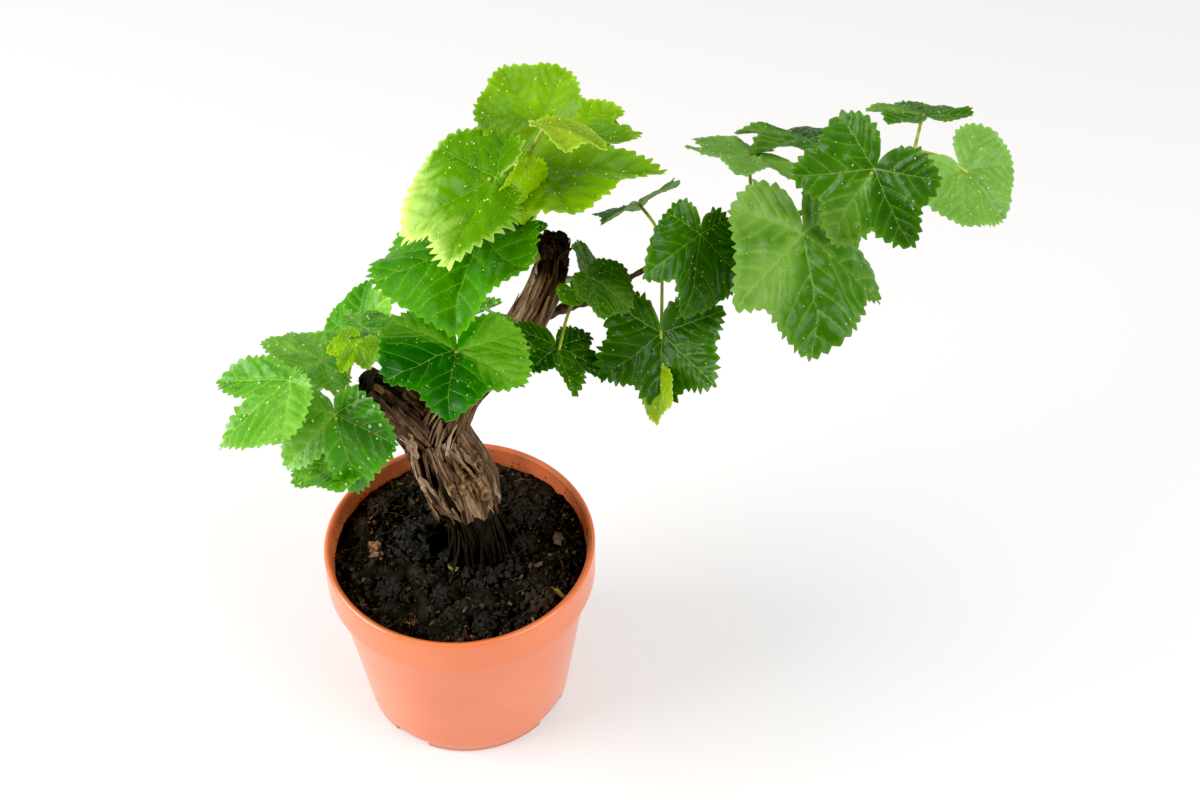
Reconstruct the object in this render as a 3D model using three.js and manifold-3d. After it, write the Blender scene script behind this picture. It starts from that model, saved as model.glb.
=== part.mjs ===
// A grapevine bonsai: an old stump with leafy shoots, in a round terracotta-coloured plastic pot.
// Millimetres, +Z up, +X to the right, -Y to the front. The origin is under the middle of the pot.

import * as THREE from "three";
import { mergeVertices } from "three/addons/utils/BufferGeometryUtils.js";
import Module from "manifold-3d";

const wasm = await Module();
wasm.setup();

// Clearance between neighbouring pieces, and how close two corners are to count as one
const CLEARANCE = 0.3;
const WELD = 1e-4;

// Pot
const POT_HEIGHT = 160;
const POT_SEGMENTS = 48;
const RIM_RADIUS = 100;
const LIP_WIDTH = 5;
const BAND_HEIGHT = 32;
const BAND_STEP = 4.8;
const BAND_ROUNDING = 2;
const FOOT_RADIUS = 77.5;
const FOOT_ROUNDING = 3;
const WALL = 3;
const FLOOR = 3;
const NOTCH_COUNT = 4;
const NOTCH_FIRST_ANGLE = -32;
const NOTCH_WIDTH = 30;
const NOTCH_HEIGHT = 8;
const NOTCH_DEPTH = 10;

// Soil
const SOIL_LEVEL = 145;
const SOIL_MOUND = 3;
const SOIL_ROUGHNESS = 1.6;
const CLOD_SPACING = 27;
const SWELL_SPACING = 60;
const SOIL_SEGMENTS = 32;
const SOIL_RINGS = 6;

// Woody limbs: middle line and radius at each of its points
const TRUNK = {
  path: [[15, -2, 139], [15, -2, 152], [13, 0, 178], [5, 2, 212], [-7, 7, 246], [-14, 10, 266]],
  radii: [24, 21.5, 19.5, 24.5, 23.5, 20],
};
const LEFT_ARM = {
  path: [[-16, 10, 262], [-30, 10, 280], [-44, 10, 297], [-58, 9, 312]],
  radii: [18, 15.5, 13, 10.5],
};
const RIGHT_ARM = {
  path: [[-12, 10, 262], [2, 14, 295], [22, 19, 317], [43, 25, 336], [66, 34, 378], [75, 42, 415]],
  radii: [18, 15.5, 12.5, 11, 10, 8.5],
};
const SPUR = {
  path: [[62, 34, 350], [80, 37, 357], [97, 35, 366], [118, 34, 383], [136, 35, 395]],
  radii: [4.2, 3.4, 2.8, 2.2, 1.9],
};
const LIMB_SIDES = 14;
const LIMB_STEPS = 9;
const SPUR_SIDES = 7;
const BARK_DEPTH = 0.07;
const BARK_RIDGES = 5;
const BARK_SWELLS = 2;
const RIDGE_TWIST = 3;
const SWELL_TWIST = -5;

// Leaf blades, as shares of the middle lobe's length; a lobing of 1 takes off the whole cut
const BLADE_THICKNESS = 1.2;
const SHOULDER = { reach: 0.55, thickness: 0.9 };
const UPPER_SINUS = { angle: 26, reach: 0.9, cut: 0.32 };
const LATERAL_LOBE = { angle: 54, reach: 0.95, cut: 0.03 };
const LOWER_SINUS = { angle: 82, reach: 0.83, cut: 0.34 };
const BASAL_LOBE = { angle: 112, reach: 0.78, cut: 0.28 };
const EAR = { angle: 142, reach: 0.66, cut: 0.2 };
const EAR_FOOT = { angle: 160, reach: 0.46, cut: 0.1 };
const STALK_SINUS = [[172, 0.2], [180, 0.07]];
const SEGMENTS_BETWEEN = [2, 2, 2, 2, 1, 1, 1, 1];
const TIP_SHARPNESS = 1.35;
const MIDRIB_FOLD = 0.12;
const EDGE_DROOP = 0.16;
const EDGE_WAVE = 0.04;
const EDGE_WAVES = 3;
const WAVE_STEP = 137.5;

// Shoots and stalks
const STEM_SIDES = 6;
const STEM_STEPS_PER_POINT = 2;
const STALK_SIDES = 4;
const STALK_STEPS = 2;
const STALK_RADIUS = 1.1;
const STALK_ARCH = 0.1;
const STALK_SINK = 0.8;
const STALK_FROM_SINUS = 0.06;
const SLIVER = 0.02;

// Each shoot has a middle line, radii at its two ends and its leaves. A leaf: place along the shoot,
// the way its stalk turns, anticlockwise from +X, and its rise, stalk length, blade length, the way
// the midrib faces, its droop, the blade's roll about the midrib, and how deep its lobes are cut.
const SHOOTS = {
  left_foliage: {
    path: [[-54, 6, 306], [-64, -4, 313], [-75, -9, 319], [-80, -8, 332]],
    radii: [3, 1.5],
    leaves: [
      { at: 0.85, turn: 230, rise: 39, stalk: 48, blade: 61, face: 216, droop: 13, roll: 8, lobes: 0.6 },
      { at: 0.5, turn: 269, rise: 28, stalk: 51, blade: 55, face: 282, droop: 48, roll: 20, lobes: 0.5 },
      { at: 0.35, turn: 270, rise: -26, stalk: 45, blade: 46, face: 208, droop: 2, roll: 18, lobes: 0.3 },
      { at: 1, turn: 113, rise: 12, stalk: 18, blade: 43, face: 173, droop: -19, roll: 12, lobes: 0.4 },
      { at: 0.9, turn: 76, rise: -4, stalk: 57, blade: 44, face: 96, droop: -32, roll: -40, lobes: 0.5 },
      { at: 0.5, turn: 325, rise: 75, stalk: 57, blade: 22, face: 240, droop: 15, roll: 0, lobes: 0.3 },
      { at: 0.6, turn: 45, rise: 60, stalk: 53, blade: 32, face: 10, droop: 0, roll: -20, lobes: 0.3 },
      { at: 0.9, turn: 115, rise: -25, stalk: 20, blade: 22, face: 185, droop: 0, roll: 40, lobes: 0.3 },
      { at: 0.4, turn: 110, rise: -25, stalk: 57, blade: 46, face: 140, droop: 40, roll: 0, lobes: 0.4 },
    ],
  },
  middle_foliage: {
    path: [[32, 21, 325], [30, 6, 347], [22, -12, 362]],
    radii: [2.6, 1.3],
    leaves: [
      { at: 1, turn: 254, rise: 42, stalk: 50, blade: 62, face: 270, droop: -5, roll: -6, lobes: 0.1 },
      { at: 0.7, turn: 10, rise: 70, stalk: 30, blade: 20, face: 340, droop: 20, roll: -40, lobes: 0.2 },
      { at: 0.3, turn: 130, rise: -10, stalk: 48, blade: 48, face: 140, droop: 35, roll: 0, lobes: 0.4 },
    ],
  },
  top_foliage: {
    path: [[66, 36, 396], [56, 27, 424], [49, 20, 450], [51, 16, 474], [56, 14, 490]],
    radii: [2.8, 1.3],
    leaves: [
      { at: 1, turn: 68, rise: 49, stalk: 35, blade: 45, face: 128, droop: -30, roll: -10, lobes: 0.4 },
      { at: 0.85, turn: 49, rise: 8, stalk: 25, blade: 84, face: 346, droop: -16, roll: -8, lobes: 0.4 },
      { at: 0.75, turn: 246, rise: 52, stalk: 54, blade: 72, face: 188, droop: 22, roll: -5, lobes: 0.5 },
      { at: 0.9, turn: 295, rise: 60, stalk: 28, blade: 38, face: 275, droop: 52, roll: -60, lobes: 0.4 },
      { at: 1, turn: 317, rise: 68, stalk: 52, blade: 41, face: 349, droop: 3, roll: -29, lobes: 0.2 },
      { at: 0.7, turn: 60, rise: 15, stalk: 70, blade: 46, face: 35, droop: -5, roll: 0, lobes: 0.4 },
      { at: 0.45, turn: 240, rise: 28, stalk: 54, blade: 71, face: 254, droop: 3, roll: 21, lobes: 0.1 },
      { at: 0.25, turn: 85, rise: -25, stalk: 31, blade: 14, face: 170, droop: 20, roll: -10, lobes: 0.2 },
      { at: 0.5, turn: 80, rise: 0, stalk: 49, blade: 54, face: 100, droop: 45, roll: 0, lobes: 0.4 },
      { at: 0.4, turn: 155, rise: -15, stalk: 52, blade: 50, face: 160, droop: 45, roll: 0, lobes: 0.4 },
    ],
  },
  spur_foliage: {
    path: [[84, 36, 359], [86, 32, 370], [90, 29, 381]],
    radii: [1.8, 1.1],
    leaves: [
      { at: 1, turn: 300, rise: 52, stalk: 29, blade: 34, face: 342, droop: 26, roll: 0, lobes: 0.5 },
      { at: 0.4, turn: 256, rise: -15, stalk: 40, blade: 40, face: 290, droop: 10, roll: -28, lobes: 0.7 },
      { at: 0.9, turn: 65, rise: 30, stalk: 16, blade: 24, face: 100, droop: -25, roll: 60, lobes: 0.2 },
      { at: 0.6, turn: 265, rise: 50, stalk: 29, blade: 13, face: 300, droop: 20, roll: 0, lobes: 0.1 },
      { at: 0.4, turn: 75, rise: -20, stalk: 36, blade: 36, face: 85, droop: 40, roll: 0, lobes: 0.4 },
    ],
  },
  inner_cane_foliage: {
    path: [[136.3, 35, 395.2], [152, 36, 404], [172, 38, 412], [196, 41, 420], [212, 43, 424.6]],
    radii: [1.9, 1.6],
    leaves: [
      { at: 0.12, turn: 269, rise: -31, stalk: 53, blade: 53, face: 269, droop: 54, roll: 29, lobes: 0.6 },
      { at: 0.35, turn: 278, rise: 49, stalk: 50, blade: 54, face: 265, droop: 48, roll: -40, lobes: 0.3 },
      { at: 0.2, turn: 115, rise: 10, stalk: 50, blade: 40, face: 90, droop: 40, roll: -25, lobes: 0.4 },
      { at: 0.9, turn: 94, rise: 41, stalk: 49, blade: 48, face: 194, droop: -14, roll: 18, lobes: 0.5 },
      { at: 0.75, turn: 290, rise: 50, stalk: 8, blade: 15, face: 250, droop: -30, roll: 0, lobes: 0.2 },
      { at: 0.12, turn: 269, rise: -39, stalk: 77, blade: 34, face: 262, droop: 42, roll: 62, lobes: 0.1 },
    ],
  },
  outer_cane_foliage: {
    path: [[212.3, 43, 424.7], [237, 48, 432], [274, 56, 450], [308, 64, 471]],
    radii: [1.6, 1.1],
    leaves: [
      { at: 0.2, turn: 270, rise: 15, stalk: 41, blade: 79, face: 284, droop: 37, roll: -22, lobes: 0.5 },
      { at: 0.3, turn: 93, rise: 15, stalk: 56, blade: 50, face: 160, droop: 0, roll: 25, lobes: 0.3 },
      { at: 0.6, turn: 273, rise: 46, stalk: 59, blade: 58, face: 216, droop: 56, roll: -20, lobes: 0.6 },
      { at: 1, turn: 75, rise: -5, stalk: 44, blade: 42, face: 100, droop: 20, roll: 5, lobes: 0.4 },
      { at: 1, turn: 340, rise: -14, stalk: 37, blade: 42, face: 326, droop: 32, roll: 14, lobes: 0.1 },
    ],
  },
};

// Materials
const PLASTIC = { color: 0xdb7d5c, roughness: 0.5 };
const COMPOST = { color: 0x241b15, roughness: 1 };
const BARK = { color: 0x6d5645, roughness: 0.9 };
const CANE_BARK = { color: 0x5a3a2b, roughness: 0.7 };
const LEAF_COLOURS = {
  left_foliage: 0x3f9130,
  middle_foliage: 0x37922f,
  top_foliage: 0x6fba2e,
  spur_foliage: 0x2f7a33,
  inner_cane_foliage: 0x2a6f31,
  outer_cane_foliage: 0x33763c,
};
const LEAF_ROUGHNESS = 0.45;

// Small helpers
const radians = THREE.MathUtils.degToRad;
const FULL_TURN = 2 * Math.PI;

function direction(heading, rise) {
  const flat = Math.cos(radians(rise));
  return new THREE.Vector3(
    flat * Math.cos(radians(heading)), flat * Math.sin(radians(heading)), Math.sin(radians(rise)));
}

function curveThrough(path) {
  return new THREE.CatmullRomCurve3(path.map((point) => new THREE.Vector3(...point)), false, "centripetal");
}

// A closed surface as a solid, turned right side out
function solid(geometry) {
  geometry.deleteAttribute("normal");
  geometry.deleteAttribute("uv");
  const merged = mergeVertices(geometry, WELD);
  const points = merged.attributes.position.array;
  const corners = merged.index.array;
  const faces = [];
  let volume = 0;
  const [a, b, c] = [new THREE.Vector3(), new THREE.Vector3(), new THREE.Vector3()];
  for (let i = 0; i < corners.length; i += 3) {
    const [p, q, r] = [corners[i], corners[i + 1], corners[i + 2]];
    if (p === q || q === r || r === p) continue;
    faces.push([p, q, r]);
    a.fromArray(points, 3 * p);
    b.fromArray(points, 3 * q);
    c.fromArray(points, 3 * r);
    volume += a.dot(b.cross(c));
  }
  const outward = volume < 0 ? faces.map(([p, q, r]) => [p, r, q]) : faces;
  return new wasm.Manifold(new wasm.Mesh({
    numProp: 3,
    vertProperties: new Float32Array(points),
    triVerts: new Uint32Array(outward.flat()),
  }));
}

function largestPiece(body) {
  const pieces = body.decompose();
  pieces.sort((one, other) => other.volume() - one.volume());
  return pieces[0];
}

function meshOf(name, body, finish) {
  const data = body.getMesh();
  const geometry = new THREE.BufferGeometry();
  geometry.setAttribute("position", new THREE.BufferAttribute(data.vertProperties, data.numProp));
  geometry.setIndex(new THREE.BufferAttribute(data.triVerts, 1));
  const mesh = new THREE.Mesh(geometry, new THREE.MeshStandardMaterial({ metalness: 0, ...finish }));
  mesh.name = name;
  return mesh;
}

function revolve(profile, segments) {
  const geometry = new THREE.LatheGeometry(profile.map(([r, z]) => new THREE.Vector2(r, z)), segments);
  geometry.rotateX(Math.PI / 2);
  return geometry;
}

// Pot
const bandFoot = POT_HEIGHT - BAND_HEIGHT;
const rimInner = RIM_RADIUS - LIP_WIDTH;
const bodyTop = RIM_RADIUS - BAND_STEP;
const lipRound = LIP_WIDTH / 2;
const pocketTop = NOTCH_HEIGHT + 2 * WALL;

// The middle of a quarter round lies this share of its radius in from the square corner
const ROUND = 1 - Math.SQRT1_2;

function insideRadius(z, gap) {
  const share = (z - FLOOR) / (POT_HEIGHT - lipRound - FLOOR);
  return THREE.MathUtils.lerp(FOOT_RADIUS - WALL, rimInner, share) - gap;
}

function notchAngles() {
  return Array.from({ length: NOTCH_COUNT }, (_, i) => NOTCH_FIRST_ANGLE + (360 / NOTCH_COUNT) * i);
}

function notchBlock(angle, depth, width, height) {
  const block = new THREE.BoxGeometry(2 * depth, width, 2 * height);
  block.translate(FOOT_RADIUS, 0, 0);
  block.rotateZ(radians(angle));
  return solid(block);
}

function makePot() {
  const outside = revolve([
    [0, 0], [FOOT_RADIUS - FOOT_ROUNDING, 0],
    [FOOT_RADIUS - ROUND * FOOT_ROUNDING, ROUND * FOOT_ROUNDING], [FOOT_RADIUS, FOOT_ROUNDING],
    [bodyTop, bandFoot - BAND_ROUNDING], [RIM_RADIUS - BAND_ROUNDING, bandFoot],
    [RIM_RADIUS, bandFoot + BAND_ROUNDING], [RIM_RADIUS, POT_HEIGHT - lipRound],
    [RIM_RADIUS - ROUND * lipRound, POT_HEIGHT - ROUND * lipRound], [RIM_RADIUS - lipRound, POT_HEIGHT],
    [rimInner + ROUND * lipRound, POT_HEIGHT - ROUND * lipRound], [rimInner, POT_HEIGHT - lipRound],
    [insideRadius(FLOOR, 0), FLOOR], [0, FLOOR],
  ], POT_SEGMENTS);
  const footProfile = [[0, 0], [FOOT_RADIUS - WALL, 0], [FOOT_RADIUS, pocketTop], [0, pocketTop]];
  const foot = solid(revolve(footProfile, POT_SEGMENTS));
  let pot = solid(outside);
  notchAngles().forEach((angle) => {
    const pocket = notchBlock(angle, NOTCH_DEPTH + WALL, NOTCH_WIDTH + 2 * WALL, NOTCH_HEIGHT + WALL);
    pot = pot.add(pocket.intersect(foot));
    pot = pot.subtract(notchBlock(angle, NOTCH_DEPTH, NOTCH_WIDTH, NOTCH_HEIGHT));
  });
  return pot;
}

// Soil: a plug with a rough, slightly mounded top
function soilBump(x, y) {
  const clod = FULL_TURN / CLOD_SPACING;
  const swell = FULL_TURN / SWELL_SPACING;
  return SOIL_ROUGHNESS * (Math.sin(clod * x) * Math.cos(clod * y) + Math.sin(swell * (x - y)));
}

function makeSoil(rootCut) {
  const edge = insideRadius(SOIL_LEVEL, CLEARANCE);
  const bottom = FLOOR + CLEARANCE;
  const profile = [[0, bottom], [insideRadius(bottom, CLEARANCE), bottom], [edge, SOIL_LEVEL]];
  for (let ring = SOIL_RINGS - 1; ring >= 0; ring -= 1) {
    const share = ring / SOIL_RINGS;
    profile.push([edge * share, SOIL_LEVEL + SOIL_MOUND * (1 - share * share)]);
  }
  const plug = revolve(profile, SOIL_SEGMENTS);
  const place = plug.attributes.position;
  for (let i = 0; i < place.count; i += 1) {
    const [x, y, z] = [place.getX(i), place.getY(i), place.getZ(i)];
    const onTop = z > SOIL_LEVEL + WELD;
    if (onTop) place.setZ(i, z + soilBump(x, y));
  }
  const spare = WALL + CLEARANCE;
  let soil = solid(plug).subtract(rootCut);
  notchAngles().forEach((angle) => {
    soil = soil.subtract(notchBlock(
      angle, NOTCH_DEPTH + spare, NOTCH_WIDTH + 2 * spare, NOTCH_HEIGHT + spare));
  });
  return soil;
}

// Limbs: a cylinder bent along its middle line, tapering through the stated radii
function radiusAlong(radii, share) {
  const place = share * (radii.length - 1);
  const low = Math.min(Math.floor(place), radii.length - 2);
  return THREE.MathUtils.lerp(radii[low], radii[low + 1], place - low);
}

// The world axis a limb runs along least keeps its cross-sections from twisting
function steadyAxis(path) {
  const run = new THREE.Vector3(...path[path.length - 1]).sub(new THREE.Vector3(...path[0]));
  const reach = [Math.abs(run.x), Math.abs(run.y), Math.abs(run.z)];
  const least = reach.indexOf(Math.min(...reach));
  return new THREE.Vector3().setComponent(least, 1);
}

function barkRelief(turn, share) {
  const ridges = Math.sin(BARK_RIDGES * turn + RIDGE_TWIST * share);
  const swells = Math.cos(BARK_SWELLS * turn + SWELL_TWIST * share);
  return ridges * swells;
}

function limb({ path, radii }, sides, steps, ridge, grow = 0, levelFoot = false) {
  const curve = curveThrough(path);
  const axis = steadyAxis(path);
  const geometry = new THREE.CylinderGeometry(1, 1, 1, sides, steps);
  const place = geometry.attributes.position;
  for (let i = 0; i < place.count; i += 1) {
    const share = place.getY(i) + 0.5;
    const reach = Math.hypot(place.getX(i), place.getZ(i));
    const turn = Math.atan2(place.getZ(i), place.getX(i));
    const bark = 1 + ridge * barkRelief(turn, share);
    const radius = reach * (radiusAlong(radii, share) * bark + grow);
    const tangent = curve.getTangentAt(share);
    if (levelFoot && share === 0) tangent.set(0, 0, 1);
    const across = axis.clone().addScaledVector(tangent, -axis.dot(tangent)).normalize();
    const along = new THREE.Vector3().crossVectors(tangent, across);
    const point = curve.getPointAt(share);
    point.addScaledVector(across, radius * Math.cos(turn));
    point.addScaledVector(along, radius * Math.sin(turn));
    if (share === 0) point.addScaledVector(tangent, -grow);
    if (share === 1) point.addScaledVector(tangent, grow);
    place.setXYZ(i, point.x, point.y, point.z);
  }
  return solid(geometry);
}

// Leaf outline: angle from the midrib and reach from the stalk, as a share of the blade length
const LOBE_STATIONS = [UPPER_SINUS, LATERAL_LOBE, LOWER_SINUS, BASAL_LOBE, EAR, EAR_FOOT];

function outlineStations(lobing) {
  const shaped = LOBE_STATIONS.map(({ angle, reach, cut }) => [angle, reach - cut * lobing]);
  return [[0, 1], ...shaped, ...STALK_SINUS];
}

// Corners of one half of the outline: lobes come to a point, the bays between them are round
function outlineCorners(lobing) {
  const stations = outlineStations(lobing);
  const corners = [];
  for (let i = 0; i < stations.length - 1; i += 1) {
    const [fromAngle, from] = stations[i];
    const [toAngle, to] = stations[i + 1];
    for (let j = 0; j < SEGMENTS_BETWEEN[i]; j += 1) {
      const share = j / SEGMENTS_BETWEEN[i];
      const eased = to > from ? share ** TIP_SHARPNESS : 1 - (1 - share) ** TIP_SHARPNESS;
      corners.push([fromAngle + (toAngle - fromAngle) * share, from + (to - from) * eased]);
    }
  }
  corners.push(stations[stations.length - 1]);
  return corners;
}

// Height of the blade over its own plane: a shallow fold, drooping edges and a wavy margin
function leafHeight(along, across, angle, phase) {
  const spread = along * along + across * across;
  const wave = EDGE_WAVE * Math.sin(EDGE_WAVES * angle + phase);
  return MIDRIB_FOLD * Math.abs(across) - (EDGE_DROOP - wave) * spread;
}

function blade(base, leaf, phase) {
  const corners = outlineCorners(leaf.lobes);
  const segments = 2 * (corners.length - 1);
  const thick = BLADE_THICKNESS / 2;
  const shoulder = SHOULDER.thickness * thick;
  const lens = [[0, thick], [SHOULDER.reach, shoulder], [1, 0], [SHOULDER.reach, -shoulder], [0, -thick]];
  const geometry = new THREE.LatheGeometry(lens.map(([r, z]) => new THREE.Vector2(r, z)), segments);
  const place = geometry.attributes.position;
  const midrib = direction(leaf.face, -leaf.droop);
  const level = direction(leaf.face + 90, 0);
  const upright = new THREE.Vector3().crossVectors(midrib, level);
  const roll = radians(leaf.roll);
  const left = level.clone().multiplyScalar(Math.cos(roll)).addScaledVector(upright, Math.sin(roll));
  const normal = new THREE.Vector3().crossVectors(midrib, left);
  for (let i = 0; i < place.count; i += 1) {
    const segment = Math.floor(i / lens.length) % segments;
    const mirrored = segment > segments / 2;
    const [degrees, outline] = corners[mirrored ? segments - segment : segment];
    const reach = lens[i % lens.length][0] * outline;
    const angle = radians(mirrored ? -degrees : degrees);
    const along = reach * Math.cos(angle);
    const across = reach * Math.sin(angle);
    const height = leaf.blade * leafHeight(along, across, angle, phase) + place.getY(i);
    const point = base.clone().addScaledVector(midrib, leaf.blade * (along - STALK_FROM_SINUS));
    point.addScaledVector(left, leaf.blade * across).addScaledVector(normal, height);
    place.setXYZ(i, point.x, point.y, point.z);
  }
  return solid(geometry);
}

// A leaf: its stalk arches up from the shoot and is sunk well into the blade
function leafOn(curve, leaf, index) {
  const root = curve.getPointAt(leaf.at);
  const course = direction(leaf.turn, leaf.rise);
  const base = root.clone().addScaledVector(course, leaf.stalk);
  const bend = root.clone().addScaledVector(course, leaf.stalk / 2);
  bend.z += STALK_ARCH * leaf.stalk;
  const end = base.clone().addScaledVector(course, STALK_SINK);
  const path = [root, bend, end].map((point) => point.toArray());
  const stalk = limb({ path, radii: [STALK_RADIUS, STALK_RADIUS] }, STALK_SIDES, STALK_STEPS, 0);
  return { stalk, blade: blade(base, leaf, radians(WAVE_STEP * index)) };
}

// A foliage mass: shoot, stalks and blades grown into one piece, kept clear of the limbs.
// A leaf is skipped where its blade would touch a limb or a mass that is already there.
function foliage(shoot, limbCuts, others) {
  const curve = curveThrough(shoot.path);
  const taken = [...limbCuts, ...others];
  let body = limb(shoot, STEM_SIDES, STEM_STEPS_PER_POINT * shoot.path.length, 0);
  shoot.leaves.forEach((leaf, index) => {
    const grown = leafOn(curve, leaf, index);
    const touches = taken.some((solidThere) => !grown.blade.intersect(solidThere).isEmpty());
    if (!touches) body = body.add(grown.stalk).add(grown.blade);
  });
  limbCuts.forEach((cut) => { body = body.subtract(cut); });
  return largestPiece(body.simplify(SLIVER));
}

// Assembly
const group = new THREE.Group();
group.name = "grapevine_bonsai";

const trunkCut = limb(TRUNK, LIMB_SIDES, LIMB_STEPS, BARK_DEPTH, CLEARANCE, true);
const leftCut = limb(LEFT_ARM, LIMB_SIDES, LIMB_STEPS, BARK_DEPTH, CLEARANCE);
const rightCut = limb(RIGHT_ARM, LIMB_SIDES, LIMB_STEPS, BARK_DEPTH, CLEARANCE);
const spurCut = limb(SPUR, SPUR_SIDES, LIMB_STEPS, 0, CLEARANCE);
const limbCuts = [trunkCut, leftCut, rightCut, spurCut];

const trunk = limb(TRUNK, LIMB_SIDES, LIMB_STEPS, BARK_DEPTH, 0, true);
const leftArm = limb(LEFT_ARM, LIMB_SIDES, LIMB_STEPS, BARK_DEPTH).subtract(trunkCut);
const rightArm = limb(RIGHT_ARM, LIMB_SIDES, LIMB_STEPS, BARK_DEPTH).subtract(trunkCut).subtract(leftCut);
const spur = limb(SPUR, SPUR_SIDES, LIMB_STEPS, 0).subtract(rightCut);

group.add(meshOf("pot", makePot(), PLASTIC));
group.add(meshOf("soil", makeSoil(trunkCut), COMPOST));
group.add(meshOf("trunk", trunk, BARK));
group.add(meshOf("left_arm", largestPiece(leftArm), BARK));
group.add(meshOf("right_arm", largestPiece(rightArm), BARK));
group.add(meshOf("spur", largestPiece(spur), CANE_BARK));

const masses = [];
Object.entries(SHOOTS).forEach(([name, shoot]) => {
  const mass = foliage(shoot, limbCuts, masses);
  masses.push(mass);
  group.add(meshOf(name, mass, { color: LEAF_COLOURS[name], roughness: LEAF_ROUGHNESS }));
});

export default group;
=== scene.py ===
"""A grapevine bonsai in a terracotta-coloured plastic pot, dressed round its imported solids.

Sizes are in millimetres and turn into metres when a mesh is made.
+X is to the right, -Y to the front, +Z up.
"""

import math
from collections import namedtuple
from itertools import product

import bpy
import numpy as np
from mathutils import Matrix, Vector
from mathutils.geometry import delaunay_2d_cdt


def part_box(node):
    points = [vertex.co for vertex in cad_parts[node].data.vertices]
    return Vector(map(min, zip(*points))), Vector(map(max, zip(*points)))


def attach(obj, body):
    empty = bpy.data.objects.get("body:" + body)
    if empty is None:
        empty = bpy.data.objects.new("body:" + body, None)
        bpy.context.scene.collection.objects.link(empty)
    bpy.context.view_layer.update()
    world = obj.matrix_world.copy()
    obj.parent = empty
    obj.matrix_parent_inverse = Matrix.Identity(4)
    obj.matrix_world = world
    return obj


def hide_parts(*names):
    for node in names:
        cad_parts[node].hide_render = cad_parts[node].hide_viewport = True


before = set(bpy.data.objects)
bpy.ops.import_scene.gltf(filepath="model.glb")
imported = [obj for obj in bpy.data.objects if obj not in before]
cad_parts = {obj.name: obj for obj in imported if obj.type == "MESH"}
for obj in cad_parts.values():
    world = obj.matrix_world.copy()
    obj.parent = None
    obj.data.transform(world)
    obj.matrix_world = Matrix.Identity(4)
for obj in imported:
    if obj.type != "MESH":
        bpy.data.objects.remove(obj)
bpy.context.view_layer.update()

MM = 0.001
TURN = 2 * math.pi
BODY = "root"

# Camera of the photograph
CAMERA_PLACE = (103.5, -971, 1276)
CAMERA_PITCH = 45
LENS = 60
SENSOR = 36

# Stage and light, in metres and watts
FLOOR_HALF = 6
FLOOR_DROP = 0.0003
FLOOR_GLOW = 0.43
WORLD_LIGHT = 0.46
LAMP_TARGET = (0.08, 0, 0.25)
Lamp = namedtuple("Lamp", "name place size power colour", defaults=[(1, 1, 1)])
LAMPS = (
    Lamp("key", (-1.9, -0.4, 1.15), 1.5, 66, (1, 0.985, 0.96)),
    Lamp("fill", (1.7, -1.0, 1.3), 1.6, 39),
    Lamp("top", (0.1, 0.3, 2.2), 1.4, 12),
)
EXPOSURE = -0.12
BLACK_LEVEL = (0.005, 0.005, 0.006)

# Noise
HASH_STEPS = np.array([73856093, 19349663, 83492791])
HASH_SEED = 50331653
HASH_MIX = 668265263
HASH_SHIFTS = (13, 15)
HASH_DROP = 8
HASH_RANGE = 1 << 20

# Plain colours as 0 to 255, with the roughness, how much and how finely the colour varies, and the gloss
Paint = namedtuple("Paint", "name colour roughness spread scale gloss", defaults=[0.18, 120, 0.5])
PLAIN_STOPS = (0.3, 0.7)
# The pot's inner wall: the plastic's colour painted darker as shade, with a little soil stain
SHADED_POT_INSIDE = Paint("pot_inside_shade_and_stain", (186, 94, 50), 0.6, 0.12, 40)
CRUMB_PAINTS = (
    Paint("crumb_black", (23, 20, 18), 0.75, 0.4, 300, 0.3),
    Paint("crumb_brown", (42, 34, 28), 0.85, 0.4, 300, 0.2),
    Paint("crumb_light", (86, 70, 55), 0.9, 0.35, 300, 0.2),
    Paint("wood_chip", (122, 84, 54), 0.9, 0.5, 300),
    Paint("dead_leaf", (128, 104, 36), 0.8, 0.3, 300),
    Paint("clay_bit", (196, 102, 70), 0.85, 0.2, 300),
    Paint("sprout", (122, 160, 70), 0.6, 0.2, 300),
)
FIBRE_PAINTS = (
    Paint("fibre_dark", (52, 36, 25), 0.9),
    Paint("fibre_red", (104, 58, 38), 0.85),
    Paint("fibre_straw", (150, 112, 62), 0.85),
)
ROOT_PAINTS = (
    Paint("root_black", (24, 20, 17), 0.9, 0.4, 300, 0.1),
    Paint("root_brown", (38, 29, 23), 0.9, 0.4, 300, 0.1),
)
SPUR_WOOD = Paint("spur_wood", (74, 46, 33), 0.75, 0.35, 260)
UNDERSIDE = Paint("leaf_underside", (112, 152, 62), 0.6, 0.12, 200, 0.2)
BROWN_MARK = Paint("leaf_mark", (104, 66, 28), 0.7)
SHOOT_PAINTS = (
    Paint("young_cane", (128, 146, 50), 0.5),
    Paint("leaf_stalk", (150, 166, 52), 0.45),
    Paint("ripe_cane", (104, 58, 40), 0.6),
)
YOUNG_CANE, LEAF_STALK, RIPE_CANE = range(len(SHOOT_PAINTS))
FLOOR_WHITE = Paint("floor_white", (186, 185, 184), 0.9, 0.002, 2, 0.1)
# Roughness of the veins and drops, and how much their colours vary
VEIN_FINISH = (0.5, 0.08)
DROP_FINISH = (0.05, 0.05)

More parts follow.
